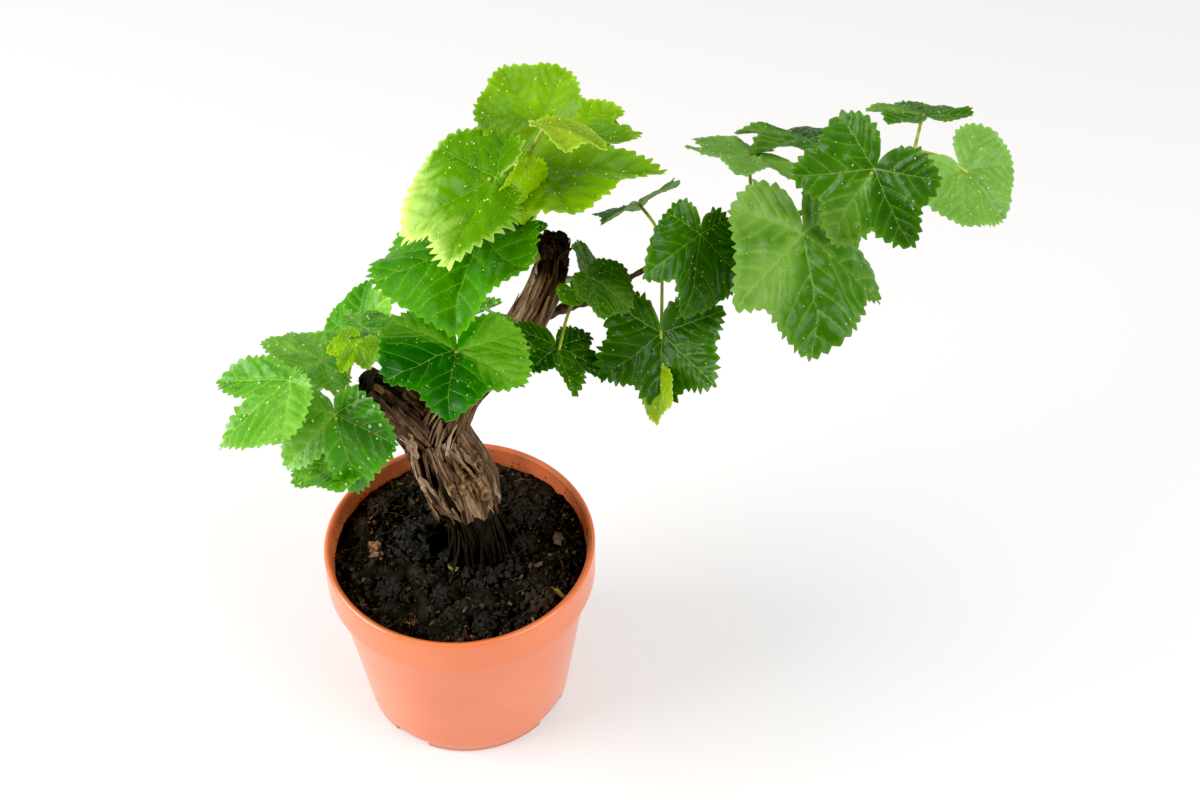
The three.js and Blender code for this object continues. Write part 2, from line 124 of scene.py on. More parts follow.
# Grainy colours: the grain's scale, detail and stretch, how far it shifts the tone, the strength and
# depth of its bumps, and the colours along the tone
Grain = namedtuple("Grain", "name colour roughness gloss scale detail stretch shift bump depth stops")
# The darkest colours of the bark are the painted shade in the gaps between strips
BARK_GRAINS = (
    Grain("bark", (98, 76, 58), 0.88, 0.25, 240, 4, (1, 1, 0.18), 0.55, 0.5, 0.8, (
        (0.05, (12, 8, 6)), (0.28, (54, 37, 25)), (0.5, (104, 77, 53)), (0.74, (146, 119, 92)),
        (1.0, (186, 162, 134)),
    )),
    Grain("bark_ochre", (120, 84, 48), 0.88, 0.2, 240, 4, (1, 1, 0.18), 0.4, 0.5, 0.8, (
        (0.05, (18, 12, 8)), (0.3, (62, 42, 27)), (0.55, (116, 86, 58)), (0.8, (164, 131, 96)),
        (1.0, (200, 171, 136)),
    )),
)
SOIL_GRAIN = Grain("soil", (30, 25, 20), 0.95, 0.15, 260, 6, None, 0.5, 0.9, 1.5, (
    (0.25, (10, 9, 8)), (0.55, (28, 24, 20)), (0.8, (54, 45, 37)), (1.0, (96, 78, 62)),
))

# The pot's plastic: its colours, the scale and detail of its clouds and grain, and the strength and
# depth of the grain's bumps
POT_COLOUR = (222, 114, 60)
POT_STOPS = ((0.3, (218, 110, 58)), (0.7, (227, 121, 70)))
POT_ROUGHNESS = 0.27
POT_GLOSS = 0.6
POT_COAT = 0.35
POT_COAT_ROUGHNESS = 0.2
POT_CLOUDS = (14, 5)
POT_GRAIN = (1400, 2)
POT_BUMP = (0.12, 0.2)

# Pot, measured on its solid where that shows the size
RIM_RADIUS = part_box("pot")[1].x / MM
POT_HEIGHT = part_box("pot")[1].z / MM
LIP_WIDTH = 5
LIP_RADIUS = LIP_WIDTH / 2
BAND_HEIGHT = 32
BAND_STEP = 4.8
BAND_ROUNDING = 1.2
FOOT_RADIUS = 77.5
FOOT_ROUNDING = 3
WALL = 3
FLOOR = 3
NOTCH_COUNT = 4
NOTCH_FIRST_ANGLE = -32
NOTCH_WIDTH = 30
NOTCH_HEIGHT = 8
NOTCH_DEPTH = 10
NOTCH_SIDE = 0.15
NOTCH_CORNER = 0.3
NOTCH_GAP = 0.1

# The pot's mesh: columns, rows of each length of its section, and how far these stay from the next length
POT_COLUMNS = 192
FOOT_ROWS = 7
WALL_ROWS = 14
CORNER_ROWS = 5
BAND_ROWS = 6
LIP_ROWS = 15
INSIDE_ROWS = 16
WALL_START = 12
BAND_CLEARANCE = 4
LIP_CLEARANCE = 2
FLOOR_CLEARANCE = 1
WELD_REACH = 0.01
SHARP_ANGLE = 60

# Soil
SOIL_LEVEL = 145
SOIL_MOUND = 3
SOIL_ROUGHNESS = 1.6
CLOD_SPACING = 27
SWELL_SPACING = 60
SWELL_FADE = 6
SOIL_COLUMNS = 400
SOIL_RINGS = 150
SOIL_FIRST_RING = 0.01
SOIL_SINK = 12
SOIL_SKIRT = 0.98
SOIL_WALL_GAP = 0.2
SOIL_EDGE_DROP = 1
SOIL_CHART_SPAN = 2.1
SKIRT_CHART_SPAN = 2.02
# Size of the features, and how high or how pale they are
CRUMB_RELIEF = ((14, 2), (6, 1.7), (3, 1.3), (1.6, 0.7))
RELIEF_SEED = 40
SOIL_TONES = ((18, 0.18), (5, 0.2))
SOIL_TONE_SEED = 3

# Crumbs: sides and rings of the ball that each is made of, and how far its corners are moved in and out
ROUND_FORM = (6, 3)
CRUMB_FORMS = 12
CRUMB_CORNERS = (0.55, 1.3)
CRUMB_SEED = 11
CRUMB_WALL_GAP = 3
CHIP_TILT = 0.2
FLAT_LUMP = 0.5
LUMP_SHOWS = 0.3
# Bits that stand out on the soil: place, size, length and flatness, which of the crumb paints, and height
Lump = namedtuple("Lump", "x y size stretch slot rise", defaults=[0])
NOTABLE_LUMPS = (
    Lump(-65, 4, 7, (1.2, 0.7, 0.3), 3, 1), Lump(-63, 2, 6, (1.2, 0.6, 0.3), 3, 3.5),
    Lump(-61, -7, 6, (1.2, 0.5, 0.3), 3), Lump(74, -41, 7, (1.2, 0.35, 0.15), 4, 1),
    Lump(25, -66, 2.4, (1, 0.8, 0.6), 5), Lump(72, 11, 6, (1.2, 0.8, 0.2), 2, 1),
    Lump(58, -14, 5, (1.1, 0.5, 0.2), 2, 1), Lump(-6, -20, 4, (1.2, 0.5, 0.2), 6, 3),
    Lump(-2, -23, 3, (1.2, 0.5, 0.2), 6, 4), Lump(40, -84, 4, (1.2, 0.4, 0.2), 3, 1),
)
# Clods of many crumbs: place, size, flatness and paint
CLODS = (
    Lump(-34, 4, 15, (1, 1, 0.9), 0), Lump(-64, 42, 9, (1, 1, 0.5), 1), Lump(-50, -36, 9, (1, 1, 0.6), 0),
    Lump(61, -47, 11, (1, 1, 0.5), 1), Lump(20, -72, 8, (1, 1, 0.4), 0), Lump(48, 30, 9, (1, 1, 0.4), 0),
    Lump(-12, -44, 8, (1, 1, 0.4), 0), Lump(16, -24, 12, (1, 1, 0.6), 0), Lump(33, -17, 12, (1, 1, 0.7), 0),
    Lump(-5, -7, 10, (1, 1, 0.7), 0), Lump(42, 2, 10, (1, 1, 0.6), 0),
)
CLOD_CRUMBS = 110
CLOD_CRUMB_SIZES = (0.12, 0.3)
CLOD_CRUMB_STRETCH = (1.1, 1, 0.9)
CLOD_HEIGHTS = (0.7, 1)
# Loose crumbs and chips: how many, between which sizes, how rare large ones are, their stretch and rise,
# and the share of each paint
Loose = namedtuple("Loose", "count sizes rarity stretch rise shares")
LOOSE_BITS = (
    Loose(2500, (0.5, 2.8), 3, (1.1, 0.9, 0.75), 0, (0.6, 0.34, 0.06)),
    Loose(330, (1, 4), 2, (1.2, 0.45, 0.18), 0.5, (0.4, 0.4, 0.16, 0.04)),
)
WALL_SPECKS = 130
WALL_SPECK_REACH = 14
WALL_SPECK_RADII = (0.3, 0.9)
WALL_SPECK_PAINTS = 2

# Fibres in the soil, and a tuft of straw
FIBRES = 130
FIBRE_SEED = 12
FIBRE_STEPS = 9
FIBRE_SIDES = 5
FIBRE_LENGTHS = (5, 20)
FIBRE_RADII = (0.12, 0.3)
FIBRE_TAPER = 0.6
FIBRE_BEND = 0.5
FIBRE_LIFT = 0.6
FIBRE_RISES = (0, 2)
FIBRE_WALL_GAP = 2
FIBRE_SHARES = (0.6, 0.25, 0.15)
TUFT = (-31, -69)
TUFT_SPREAD = 1.2
TUFT_STRAWS = 14
STRAW_RISES = (30, 85)
STRAW_LENGTHS = (6, 14)
STRAW_RADIUS = 0.2
STRAW_TAPER = 0.7
STRAW_PAINTS = (1, 2)

# Woody limbs: middle line and radius at each of its points, as in the solids, and whether its foot is
# cut level
Limb = namedtuple("Limb", "path radii level_foot", defaults=[False])
TRUNK = Limb(
    [(15, -2, 139), (15, -2, 152), (13, 0, 178), (5, 2, 212), (-7, 7, 246), (-14, 10, 266)],
    [24, 21.5, 19.5, 24.5, 23.5, 20],
    True,
)
LEFT_ARM = Limb(
    [(-16, 10, 262), (-30, 10, 280), (-44, 10, 297), (-58, 9, 312)],
    [18, 15.5, 13, 10.5],
)
RIGHT_ARM = Limb(
    [(-12, 10, 262), (2, 14, 295), (22, 19, 317), (43, 25, 336), (66, 34, 378), (75, 42, 415)],
    [18, 15.5, 12.5, 11, 10, 8.5],
)
SPUR = Limb(
    [(62, 34, 350), (80, 37, 357), (97, 35, 366), (118, 34, 383), (136, 35, 395)],
    [4.2, 3.4, 2.8, 2.2, 1.9],
)

# Ridges and swells of the limbs, as in the solids
BARK_DEPTH = 0.07
BARK_RIDGES = 5
BARK_SWELLS = 2
RIDGE_TWIST = 3
SWELL_TWIST = -5
LIMB_SAMPLES = 400
LIMB_CHART = 0.98

# Bark: number of strips that lie over each other on a limb, their half widths and half lengths, how high
# they lie and how pale they are; columns and rows of its mesh; its seed; then how many loose strips peel
# off, over which length of the limb, and how pale those are
Bark = namedtuple(
    "Bark", "strips half_widths half_lengths heights tones columns rows seed loose loose_shares loose_tones"
)
TRUNK_BARK = Bark(
    200, (0.8, 2.8), (12, 40), (0.2, 3.8), (0.14, 0.66), 300, 250, 100, 80, (0.55, 0.99), (0.12, 0.72)
)
LEFT_ARM_BARK = Bark(
    110, (0.8, 2.6), (14, 40), (0.3, 2.6), (0.06, 0.32), 170, 130, 200, 26, (0.1, 0.95), (0.1, 0.42)
)
RIGHT_ARM_BARK = Bark(
    130, (0.9, 2.8), (18, 52), (0.2, 2.6), (0.16, 0.62), 170, 330, 300, 40, (0.15, 0.9), (0.15, 0.85)
)
STRIP_LEAN = 0.1
STRIP_EDGE = 0.24
STRIP_RIM = 0.3
STRIP_END = 4
STRIP_NARROWEST = 0.01
RIM_PALENESS = 0.2
# The sunken gaps between strips are painted nearly black as shade, and each strip darkens towards its edge
# as painted shade
GAP_HEIGHT = -1.4
SHADED_GAP_TONE = 0.03
THREAD_TONE = 0.2

# Noise on the limbs: size of its features, how they are drawn out along the limb, their depth and seed
Feature = namedtuple("Feature", "size stretch depth seed")
STRIP_WANDER = Feature(11, 3, 1.5, 0)
THREADS = Feature(1.5, 12, 0.35, 20)
BARK_LUMPS = Feature(22, 1.6, 1.2, 30)
CUT_RELIEF = Feature(3, 1, 1.5, 50)
CUT_TONES = Feature(2, 1, 0.1, 51)
TRUNK_OCHRE = Feature(8, 3, 0.9, 60)
KNOT_WOBBLE = Feature(4, 1, 0.45, 61)
LEFT_ARM_OCHRE = Feature(6, 5, 1, 62)
RIGHT_ARM_OCHRE = Feature(6, 6, 1, 63)
SKIRT_RAGGED = Feature(4, 4, 7, 77)
SKIRT_SWELL = Feature(18, 1, 5, 78)
NECK_STRANDS = Feature(7, 8, 3.5, 80)
CHAR_EDGE = Feature(9, 1, 0.05, 5)
CHAR_CRACKS = Feature(4, 2, 1, 6)
DRAWN_WANDER = 0.35
DRAWN_WANDER_SIZE = 3

# Strips that peel off: where they are fixed, their length and width, how far the free end lifts, which
# way it points along the limb and how pale they are
Peel = namedtuple("Peel", "share turn length width lift way tone")
TRUNK_PEELS = (
    Peel(0.68, 146, 23, 10, 4, 1, 0.7), Peel(0.97, 112, 20, 4, 4, -1, 0.62),
    Peel(0.62, 128, 12, 3, 4, -1, 0.55), Peel(0.6, 252, 16, 3, 4, -1, 0.7),
    Peel(0.99, 190, 44, 4, 3, -1, 0.4),
)
LEFT_ARM_PEELS = (
    Peel(0.36, 168, 20, 9, 5, -1, 0.7), Peel(0.25, 112, 30, 5, 5, -1, 0.65),
    Peel(0.55, 200, 34, 4, 3, -1, 0.45),
)
RIGHT_ARM_PEELS = (
    Peel(0.93, 150, 16, 6, 4, 1, 0.2), Peel(0.94, 210, 14, 5, 5, 1, 0.15), Peel(0.93, 80, 14, 5, 4, 1, 0.2),
)
LOOSE_LENGTHS = (14, 46)
LOOSE_WIDTHS = (0.8, 2.8)
LOOSE_LIFT = 4.5
# Lines from the trunk into each arm, for strips that run on over the fork, with their turns and tones
Run = namedtuple("Run", "limb turns tones")
RUNS = (
    Run(
        Limb(
            [(5, 2, 212), (-7, 7, 246), (-16, 10, 262), (-30, 10, 280), (-44, 10, 297)],
            [24.5, 23.5, 19.5, 15.5, 13],
        ),
        (60, 205),
        (0.06, 0.5),
    ),
    Run(
        Limb(
            [(5, 2, 212), (-7, 7, 246), (-10, 10, 264), (2, 14, 295), (22, 19, 317)],
            [24.5, 23.5, 20, 15.5, 12.5],
        ),
        (170, 310),
        (0.1, 0.8),
    ),
)
RUN_PEELS = 38
RUN_STARTS = {1: (0.05, 0.55), -1: (0.45, 0.95)}
RUN_LENGTHS = (25, 60)
RUN_WIDTHS = (0.8, 2.6)
RUN_LIFT = 3
PEEL_SEED = 21
PEEL_ROWS = 12
PEEL_COLUMNS = 5
PEEL_BASE = 1.8
PEEL_THICKNESS = 0.5
PEEL_HANG = 10
PEEL_LOWEST = 0.01
PEEL_SWING = 0.12
PEEL_SWAY = 0.02
PEEL_SWAYS = 9
PEEL_NICK = 0.2
PEEL_NICKS = 17
PEEL_FULL = 1.02
PEEL_TAPER = 2.5
PEEL_POINT = 0.8
PEEL_CURLS = (-0.2, 0.5)
PEEL_LIFT_POWER = 1.7
PEEL_EDGE_TONE = 0.12
PEEL_TONE_SPREAD = 0.08
# The strips' undersides, facing the limb, are painted darker as shade
PEEL_UNDERSIDE_SHADE = 0.3

# The trunk's dark fibrous neck under the skirt of pale bark
SKIRT_HEIGHT = 199
SKIRT_RISE_LEFT = 12
SKIRT_EDGE = 2
SKIRT_OCHRE = 0.5
SKIRT_OCHRE_RISE = 5
SKIRT_OCHRE_WIDTH = 6
NECK_INSET = 2.5
NECK_TONE = 0.01
NECK_STRAND_TONE = 0.13
OCHRE_OVER = 0.5

# The trunk's knots with their rings, and its hollow: turn, height and size
Knot = namedtuple("Knot", "turn height size")
KNOTS = (Knot(189, 231, 8), Knot(215, 235, 7.5), Knot(241, 238, 8), Knot(228, 217, 6))
KNOT_HEIGHT = 3.2
KNOT_EDGE = 4
KNOT_SMOOTHING = 0.4
KNOT_DIMPLE = 0.8
KNOT_DIMPLE_POWER = 9
KNOT_RINGS = 1.3
KNOT_RING_DEPTH = 0.9
KNOT_RING_TONE = 0.22
KNOT_SHADE = 0.3
KNOT_TONE = 0.1
KNOT_OCHRE = 0.5
Hollow = namedtuple("Hollow", "turn height wide tall")
HOLLOW = Hollow(150, 259, 9, 13)
HOLLOW_DEPTH = 12
HOLLOW_EDGE = (0.6, 1.1)
HOLLOW_SHADE = 0.97
HOLLOW_CLEARANCE = 24

# The right arm's charred tip, and the rough cuts at the limbs' ends
CHAR_SHARES = (0.84, 0.93)
CHAR_SWELL = 0.4
CHAR_SHADE = 0.8
CRACK_DEPTH = 1.5
CRACK_WIDTH = 0.12
RIGHT_ARM_WARMTH = 0.25
CUT_RINGS = (0.93, 0.7, 0.4, 0.12)
CUT_DEPTH = 2
CUT_TONE = 0.1

# Root strands: every fourth one flares far out
ROOT_STRANDS = 70
ROOT_SEED = 31
ROOT_STEPS = 10
ROOT_SIDES = 7
ROOT_TOPS = (175, 203)
ROOT_DEPTH = 2
ROOT_WANDER = 0.2
ROOT_FLARES = ((5, 16), (0, 5), (0, 5), (0, 5))
ROOT_FLARE_POWER = 1.6
ROOT_START = 1.5
ROOT_RADII = (0.4, 1.5)
ROOT_TAPER = 0.4
ROOT_SHARES = (0.75, 0.25)

# Spur: rounding of its mesh, and swellings along it as depth and rate
SPUR_STEPS = 90
SPUR_SIDES = 20
SPUR_SWELLINGS = ((0.12, 34), (0.08, 71))

# Leaf outlines of one half: the upper bay's angle from the midrib; the reach at the upper bay, side lobe,
# lower bay, basal lobe and ear, as shares of the middle lobe's length; how blunt the lobes and how large
# the teeth are
Outline = namedtuple("Outline", "bay_angle upper_bay side_lobe lower_bay basal_lobe ear bluntness teeth")
SIDE_ANGLES = (54, 84, 112, 142)
OUTLINES = {
    "round": Outline(26, 0.88, 0.94, 0.84, 0.8, 0.66, 1.25, 1),
    "disc": Outline(26, 0.95, 1, 0.94, 0.9, 0.74, 1.25, 1.1),
    "heart": Outline(26, 0.77, 0.88, 0.76, 0.68, 0.58, 1.25, 1),
    "lobed": Outline(28, 0.68, 0.95, 0.68, 0.75, 0.58, 1.2, 1.1),
    "cut": Outline(26, 0.52, 0.96, 0.6, 0.7, 0.54, 1.2, 1.1),
    "star": Outline(30, 0.6, 1, 0.58, 0.82, 0.56, 1, 1.4),
    "plain": Outline(26, 0.88, 0.94, 0.7, 0.5, 0.42, 1.25, 1.1),
    "slit": Outline(24, 0.48, 0.96, 0.62, 0.47, 0.38, 1.2, 1),
    "broad": Outline(41, 0.77, 0.95, 0.74, 0.7, 0.6, 1.05, 1),
    "bayed": Outline(34, 0.68, 0.97, 0.72, 0.6, 0.5, 1, 1),
    "full": Outline(26, 0.8, 0.86, 0.76, 0.74, 0.66, 1.25, 1),
    "short": Outline(26, 0.86, 0.8, 0.62, 0.45, 0.4, 1.25, 1.1),
    "tucked": Outline(30, 0.9, 0.92, 0.55, 0.28, 0.2, 1.25, 1.1),
    "notched": Outline(20, 0.5, 0.96, 0.5, 0.2, 0.18, 1.2, 1.1),
    "toothed": Outline(28, 0.76, 1, 0.74, 0.9, 0.62, 1, 1.7),
    "jagged": Outline(30, 0.78, 1, 0.72, 0.36, 0.24, 1, 1.8),
}
LOBE_STEPS = 9
SINUS_FOOT = (160, 0.66)
SINUS = ((172, 0.19), (180, 0.07))
MIDRIB_FOLD = 0.12
EDGE_DROOP = 0.16
EDGE_WAVE = 0.04
EDGE_WAVES = 3
WAVE_STEP = 137.5
STALK_FROM_SINUS = 0.06

# Finer leaf form
STATION_SPREAD = 0.03
LARGE_BLADE = 60
TOOTH_PITCH = 6
TOOTH_STEPS = 8
TOOTH_CREST = 0.4
TOOTH_ROUNDNESS = 0.95
TOOTH_HEIGHT = 0.055
TOOTH_MIDDLE = 0.45
TOOTH_WIDTHS = (0.7, 1.3)
TOOTH_SIZES = (0.6, 1.1)
SMALL_TOOTH = 0.75
LARGE_TOOTH = 1.2
FEWEST_TEETH = 8
TOOTHLESS = (150, 168)
BAY_FADE = 6
OUTLINE_END = 179.99
OUTLINE_STEPS = 1500
SINUS_GAP = 0.004
LEAF_SPACING = 0.8
LEAF_SPACING_GROWTH = 0.012
FILLER_GAP = 0.7
NEAREST_BLOCKS = 12
MESH_INSIDE = 1
MESH_EPSILON = 1e-7
LEAF_THICKNESS = 0.45
LOBE_BEND = 0.09
LOBE_HALF_WIDTH = 0.45
MAIN_FOLD_WIDTH = 0.25
MAIN_FOLD_HEIGHT = 0.05
PUFF_HEIGHT = 0.016
PUFF_WIDTH = 0.07
RIPPLE_HEIGHT = 0.03
RIPPLES = 8
PUCKERS = ((0.35, 0.026), (0.13, 0.013), (0.055, 0.005))
FOLD_WIDTH = 0.12

# Leaf tones and the bake's map
TONE_MIDDLE = 0.42
TONE_SHIFT = 0.05
LEAF_SEEDS = 1000
LOBE_TONE = 0.17
PAINTED_SHEEN_START = 0.15
MARGIN_WIDTH = 0.06
MARGIN_TONE = 0.25
RIM_TONE = 0.3
MOTTLES = ((0.35, 0.08), (0.06, 0.06))
MOTTLE_SEED = 11
VEIN_HALO = 0.012
TILE_CENTRE = (0.15, 0)
TILE_SHARE = 0.44
RIM_CHART = 1.02

# Veins: width and rise at the start of a main and of a side one
MAIN_VEINS = (0, 54, -54, 112, -112)
MAIN_VEIN_STEPS = 30
MAIN_VEIN_REACH = 0.96
MAIN_VEIN_BOW = 0.05
SIDE_VEINS = 4
SIDE_VEIN_ANGLE = 50
SIDE_VEIN_STEP = 0.028
SIDE_VEIN_STEPS = 24
SIDE_VEIN_BOW = 0.022
SIDE_VEIN_START = 0.75
SIDE_VEIN_STAGGER = 0.25
SIDE_VEIN_SPREAD = (-0.15, 0.15)
SIDE_VEIN_REST = 0.6
SIDE_VEIN_REACH = 0.95
SHORTEST_VEIN = 3
LAST_BEARING = 179
OUTER_LIMIT = 58
MAIN_VEIN = (0.012, 0.22)
SIDE_VEIN = (0.0062, 0.1)
VEIN_TAPER = 0.35
VEIN_SINK = 0.12

# Brown marks: which leaf of a shoot, how many, between which angles and reaches, and the way they run
Marks = namedtuple("Marks", "leaf count angles reaches way")
MARKS = {
    "left_foliage": Marks(1, 26, (22, 74), (0.3, 0.66), 110),
    "top_foliage": Marks(4, 22, (-30, 30), (0.15, 0.75), 40),
    "outer_cane_foliage": Marks(2, 6, (-60, 60), (0.3, 0.7), 20),
}
MARK_WAY_SPREAD = 25
MARK_LENGTHS = (0.01, 0.09)
MARK_WIDTHS = (0.008, 0.02)
MARK_RISE = 0.14
MARK_STEPS = 5
MARK_SEED = 43

# Water drops
DROP_SHARE = 0.045
DROP_RARITY = 4
SMALLEST_DROP = 0.22

# Shoots and stalks
FOLIAGE_SEED = 41
STALK_RADII = (1.5, 1.05, 1.2)
STALK_STATIONS = (0, 0.2, 1)
STALK_LEAST = 0.5
STALK_FULL_BLADE = 80
STALK_ARCH = 0.1
STALK_SINK = 0.8
STALK_SIDES = 8
STALK_STEPS = 10
SHOOT_STEPS = 200
STEM_STEPS = 60
STEM_SIDES = 12
NODE_SWELLING = 0.45
NODE_SHARPNESS = 24
RIPE_SHOOT = "inner_cane_foliage"

# Each leaf: place along its shoot, the way its stalk turns and rises, stalk and blade lengths, the way
# the midrib faces, its droop, the blade's roll, its outlines, its look, where it is folded and how far, how
# much paler it grows towards its tip as painted sheen, and how much paler the lobe of each main vein is,
# on some leaves as painted sheen and shade
Leaf = namedtuple(
    "Leaf", "at turn rise stalk blade face droop roll outline look folds glow lobes", defaults=[(), 0, ()]
)
Shoot = namedtuple("Shoot", "path radii leaves")
SHOOTS = {
    "left_foliage": Shoot(
        [(-54, 6, 306), (-64, -4, 313), (-75, -9, 319), (-80, -8, 332)],
        (3, 1.5),
        [
            Leaf(0.85, 230, 39, 48, 61, 216, 13, 8, "tucked notched", "mid",
                 lobes=(0.15, 0.35, 0.1, 0.2, 0)),
            # Its lobes are paler on one half as painted sheen and darker on the other
            Leaf(0.5, 269, 28, 51, 55, 282, 48, 20, "short slit", "mid", ((-26, 20),),
                 lobes=(-0.15, -0.35, 0.25, -0.35, 0.2)),
            Leaf(0.35, 270, -26, 45, 46, 208, 2, 18, "plain", "mid"),
            Leaf(1, 113, 12, 18, 43, 173, -19, 12, "full", "mid",
                 lobes=(0.42, 0.42, 0.42, 0.3, 0.3)),
            Leaf(0.9, 76, -4, 57, 44, 96, -32, -40, "full", "fresh"),
            Leaf(0.5, 325, 75, 57, 22, 240, 15, 0, "lobed", "bright"),
            Leaf(0.6, 45, 60, 53, 32, 10, 0, -20, "heart", "mid"),
            Leaf(0.9, 115, -25, 20, 22, 185, 0, 40, "round", "mid"),
            Leaf(0.4, 110, -25, 57, 46, 140, 40, 0, "lobed", "mid"),
        ],
    ),
    "middle_foliage": Shoot(
        [(32, 21, 325), (30, 6, 347), (22, -12, 362)],
        (2.6, 1.3),
        [
            # Its lobes paint shade on the left lobe and midrib and sheen on the right and upper lobes
            Leaf(1, 254, 42, 50, 62, 270, -5, -6, "heart full", "deep", ((68, -12),),
                 lobes=(-0.25, 0.45, -0.3, 0.4, 0.35)),
            Leaf(0.7, 10, 70, 30, 20, 340, 20, -40, "round", "fresh"),
            Leaf(0.3, 130, -10, 48, 48, 140, 35, 0, "lobed", "mid"),
        ],
    ),
    "top_foliage": Shoot(
        [(66, 36, 396), (56, 27, 424), (49, 20, 450), (51, 16, 474), (56, 14, 490)],
        (2.8, 1.3),
        [
            Leaf(1, 68, 49, 35, 45, 128, -30, -10, "plain", "bright"),
            Leaf(0.85, 49, 8, 25, 84, 346, -16, -8, "cut plain", "bright"),
            # This leaf's pale lower lobes are painted sheen, from its tip sheen and its sunlit look
            Leaf(0.75, 246, 52, 54, 72, 188, 22, -5, "jagged short", "sunlit", ((84, 60),),
                 glow=0.45, lobes=(-0.1, 0, -0.2, -0.15, -0.2)),
            Leaf(0.9, 295, 60, 28, 38, 275, 52, -60, "tucked", "bright",
                 lobes=(0.3, 0.3, 0.3, 0.2, 0.2)),
            Leaf(1, 317, 68, 52, 41, 349, 3, -29, "tucked", "yellow"),
            Leaf(0.7, 60, 15, 70, 46, 35, -5, 0, "lobed", "bright"),
            Leaf(0.45, 240, 28, 54, 71, 254, 3, 21, "short disc", "fresh",
                 lobes=(-0.12, -0.12, -0.1, -0.15, -0.1)),
            Leaf(0.25, 85, -25, 31, 14, 170, 20, -10, "round", "fresh"),
            Leaf(0.5, 80, 0, 49, 54, 100, 45, 0, "lobed", "fresh"),
            Leaf(0.4, 155, -15, 52, 50, 160, 45, 0, "lobed", "fresh"),
        ],
    ),
    "spur_foliage": Shoot(
        [(84, 36, 359), (86, 32, 370), (90, 29, 381)],
        (1.8, 1.1),
        [
            Leaf(1, 300, 52, 29, 34, 342, 26, 0, "tucked plain", "dark"),
            Leaf(0.4, 256, -15, 40, 40, 290, 10, -28, "star", "dark"),
            Leaf(0.9, 65, 30, 16, 24, 100, -25, 60, "round", "dark"),
            Leaf(0.6, 265, 50, 29, 13, 300, 20, 0, "round", "fresh"),
            Leaf(0.4, 75, -20, 36, 36, 85, 40, 0, "lobed", "dark"),
        ],
    ),
    "inner_cane_foliage": Shoot(
        [(136.3, 35, 395.2), (152, 36, 404), (172, 38, 412), (196, 41, 420), (212, 43, 424.6)],
        (1.9, 1.6),
        [
            Leaf(0.12, 269, -31, 53, 53, 269, 54, 29, "toothed", "dark"),
            Leaf(0.35, 278, 49, 50, 54, 265, 48, -40, "plain bayed", "dark",
                 lobes=(-0.02, -0.05, 0, -0.1, -0.1)),
            Leaf(0.2, 115, 10, 50, 40, 90, 40, -25, "lobed", "dark"),
            Leaf(0.9, 94, 41, 49, 48, 194, -14, 18, "lobed", "pale",
                 lobes=(-0.25, -0.25, -0.25, -0.2, -0.2)),
            Leaf(0.75, 290, 50, 8, 15, 250, -30, 0, "round", "fresh"),
            Leaf(0.12, 269, -39, 77, 34, 262, 42, 62, "tucked", "yellow"),
        ],
    ),
    "outer_cane_foliage": Shoot(
        [(212.3, 43, 424.7), (237, 48, 432), (274, 56, 450), (308, 64, 471)],
        (1.6, 1.1),
        [
            # Its lobes on one side are paler as painted sheen
            Leaf(0.2, 270, 15, 41, 79, 284, 37, -22, "broad", "dark", ((30, 22),),
                 lobes=(-0.05, 0.05, 0.4, 0.05, 0.4)),
            Leaf(0.3, 93, 15, 56, 50, 160, 0, 25, "lobed", "dark"),
            Leaf(0.6, 273, 46, 59, 58, 216, 56, -20, "lobed", "dark",
                 lobes=(0.35, -0.1, 0.1, -0.1, 0)),
            Leaf(1, 75, -5, 44, 42, 100, 20, 5, "lobed", "dark"),
            Leaf(1, 340, -14, 37, 42, 326, 32, 14, "round disc", "pale",
                 lobes=(-0.1, -0.1, -0.1, -0.1, -0.1)),
        ],
    ),
}
SLOTS = {
    "left_foliage": "mid_green_leaf",
    "middle_foliage": "mid_green_leaf",
    "top_foliage": "bright_green_leaf",
    "spur_foliage": "dark_green_leaf",
    "inner_cane_foliage": "dark_green_leaf",
    "outer_cane_foliage": "dark_green_leaf",
}

# Leaf colours as 0 to 255: at the dark end of the tone, all over, at the pale end that the margins lean to,
# and of the veins; then the gloss, how much paler the blade is along its veins, and the largest drop's
# radius
Look = namedtuple("Look", "hollow main high vein gloss halo drop", defaults=[0.35, 0.16, 0.85])
LEAF_LOOKS = {
    "bright": Look((84, 134, 0), (116, 166, 0), (162, 202, 24), (132, 172, 22), halo=-0.08),
    # The sunlit look's pale end is a painted sheen
    "sunlit": Look((58, 112, 0), (84, 138, 0), (196, 230, 112), (124, 168, 28), 0.15, -0.08),
    "fresh": Look((40, 114, 0), (78, 150, 8), (136, 192, 50), (150, 190, 72)),
    "mid": Look((34, 100, 0), (66, 138, 10), (122, 184, 56), (160, 196, 84), 0.5, drop=1.5),
    "deep": Look((14, 84, 0), (40, 120, 0), (110, 172, 40), (150, 192, 76), 0.45),
    "dark": Look((22, 66, 0), (54, 106, 0), (112, 154, 56), (132, 162, 58), 0.32),
    # The pale look is a paler green with a painted sheen, the lamps' whitish reflection, mixed into its
    # colours
    "pale": Look((92, 142, 44), (122, 168, 68), (154, 194, 100), (118, 160, 66)),
    "yellow": Look((108, 146, 4), (150, 184, 22), (196, 216, 76), (176, 190, 66), halo=-0.08),
}
LEAF_ROUGHNESS = 0.6
LEAF_SPECULAR = 0.03
LEAF_COAT_ROUGHNESS = 0.25
LEAF_STOPS = (0.15, 0.5, 0.95)
LEAF_MOTTLE_SCALE = 90
LEAF_MOTTLE_SHIFT = 0.15
VEINLET_SCALE = 330
VEINLET_BUMP = 0.7
VEINLET_DEPTH = 1
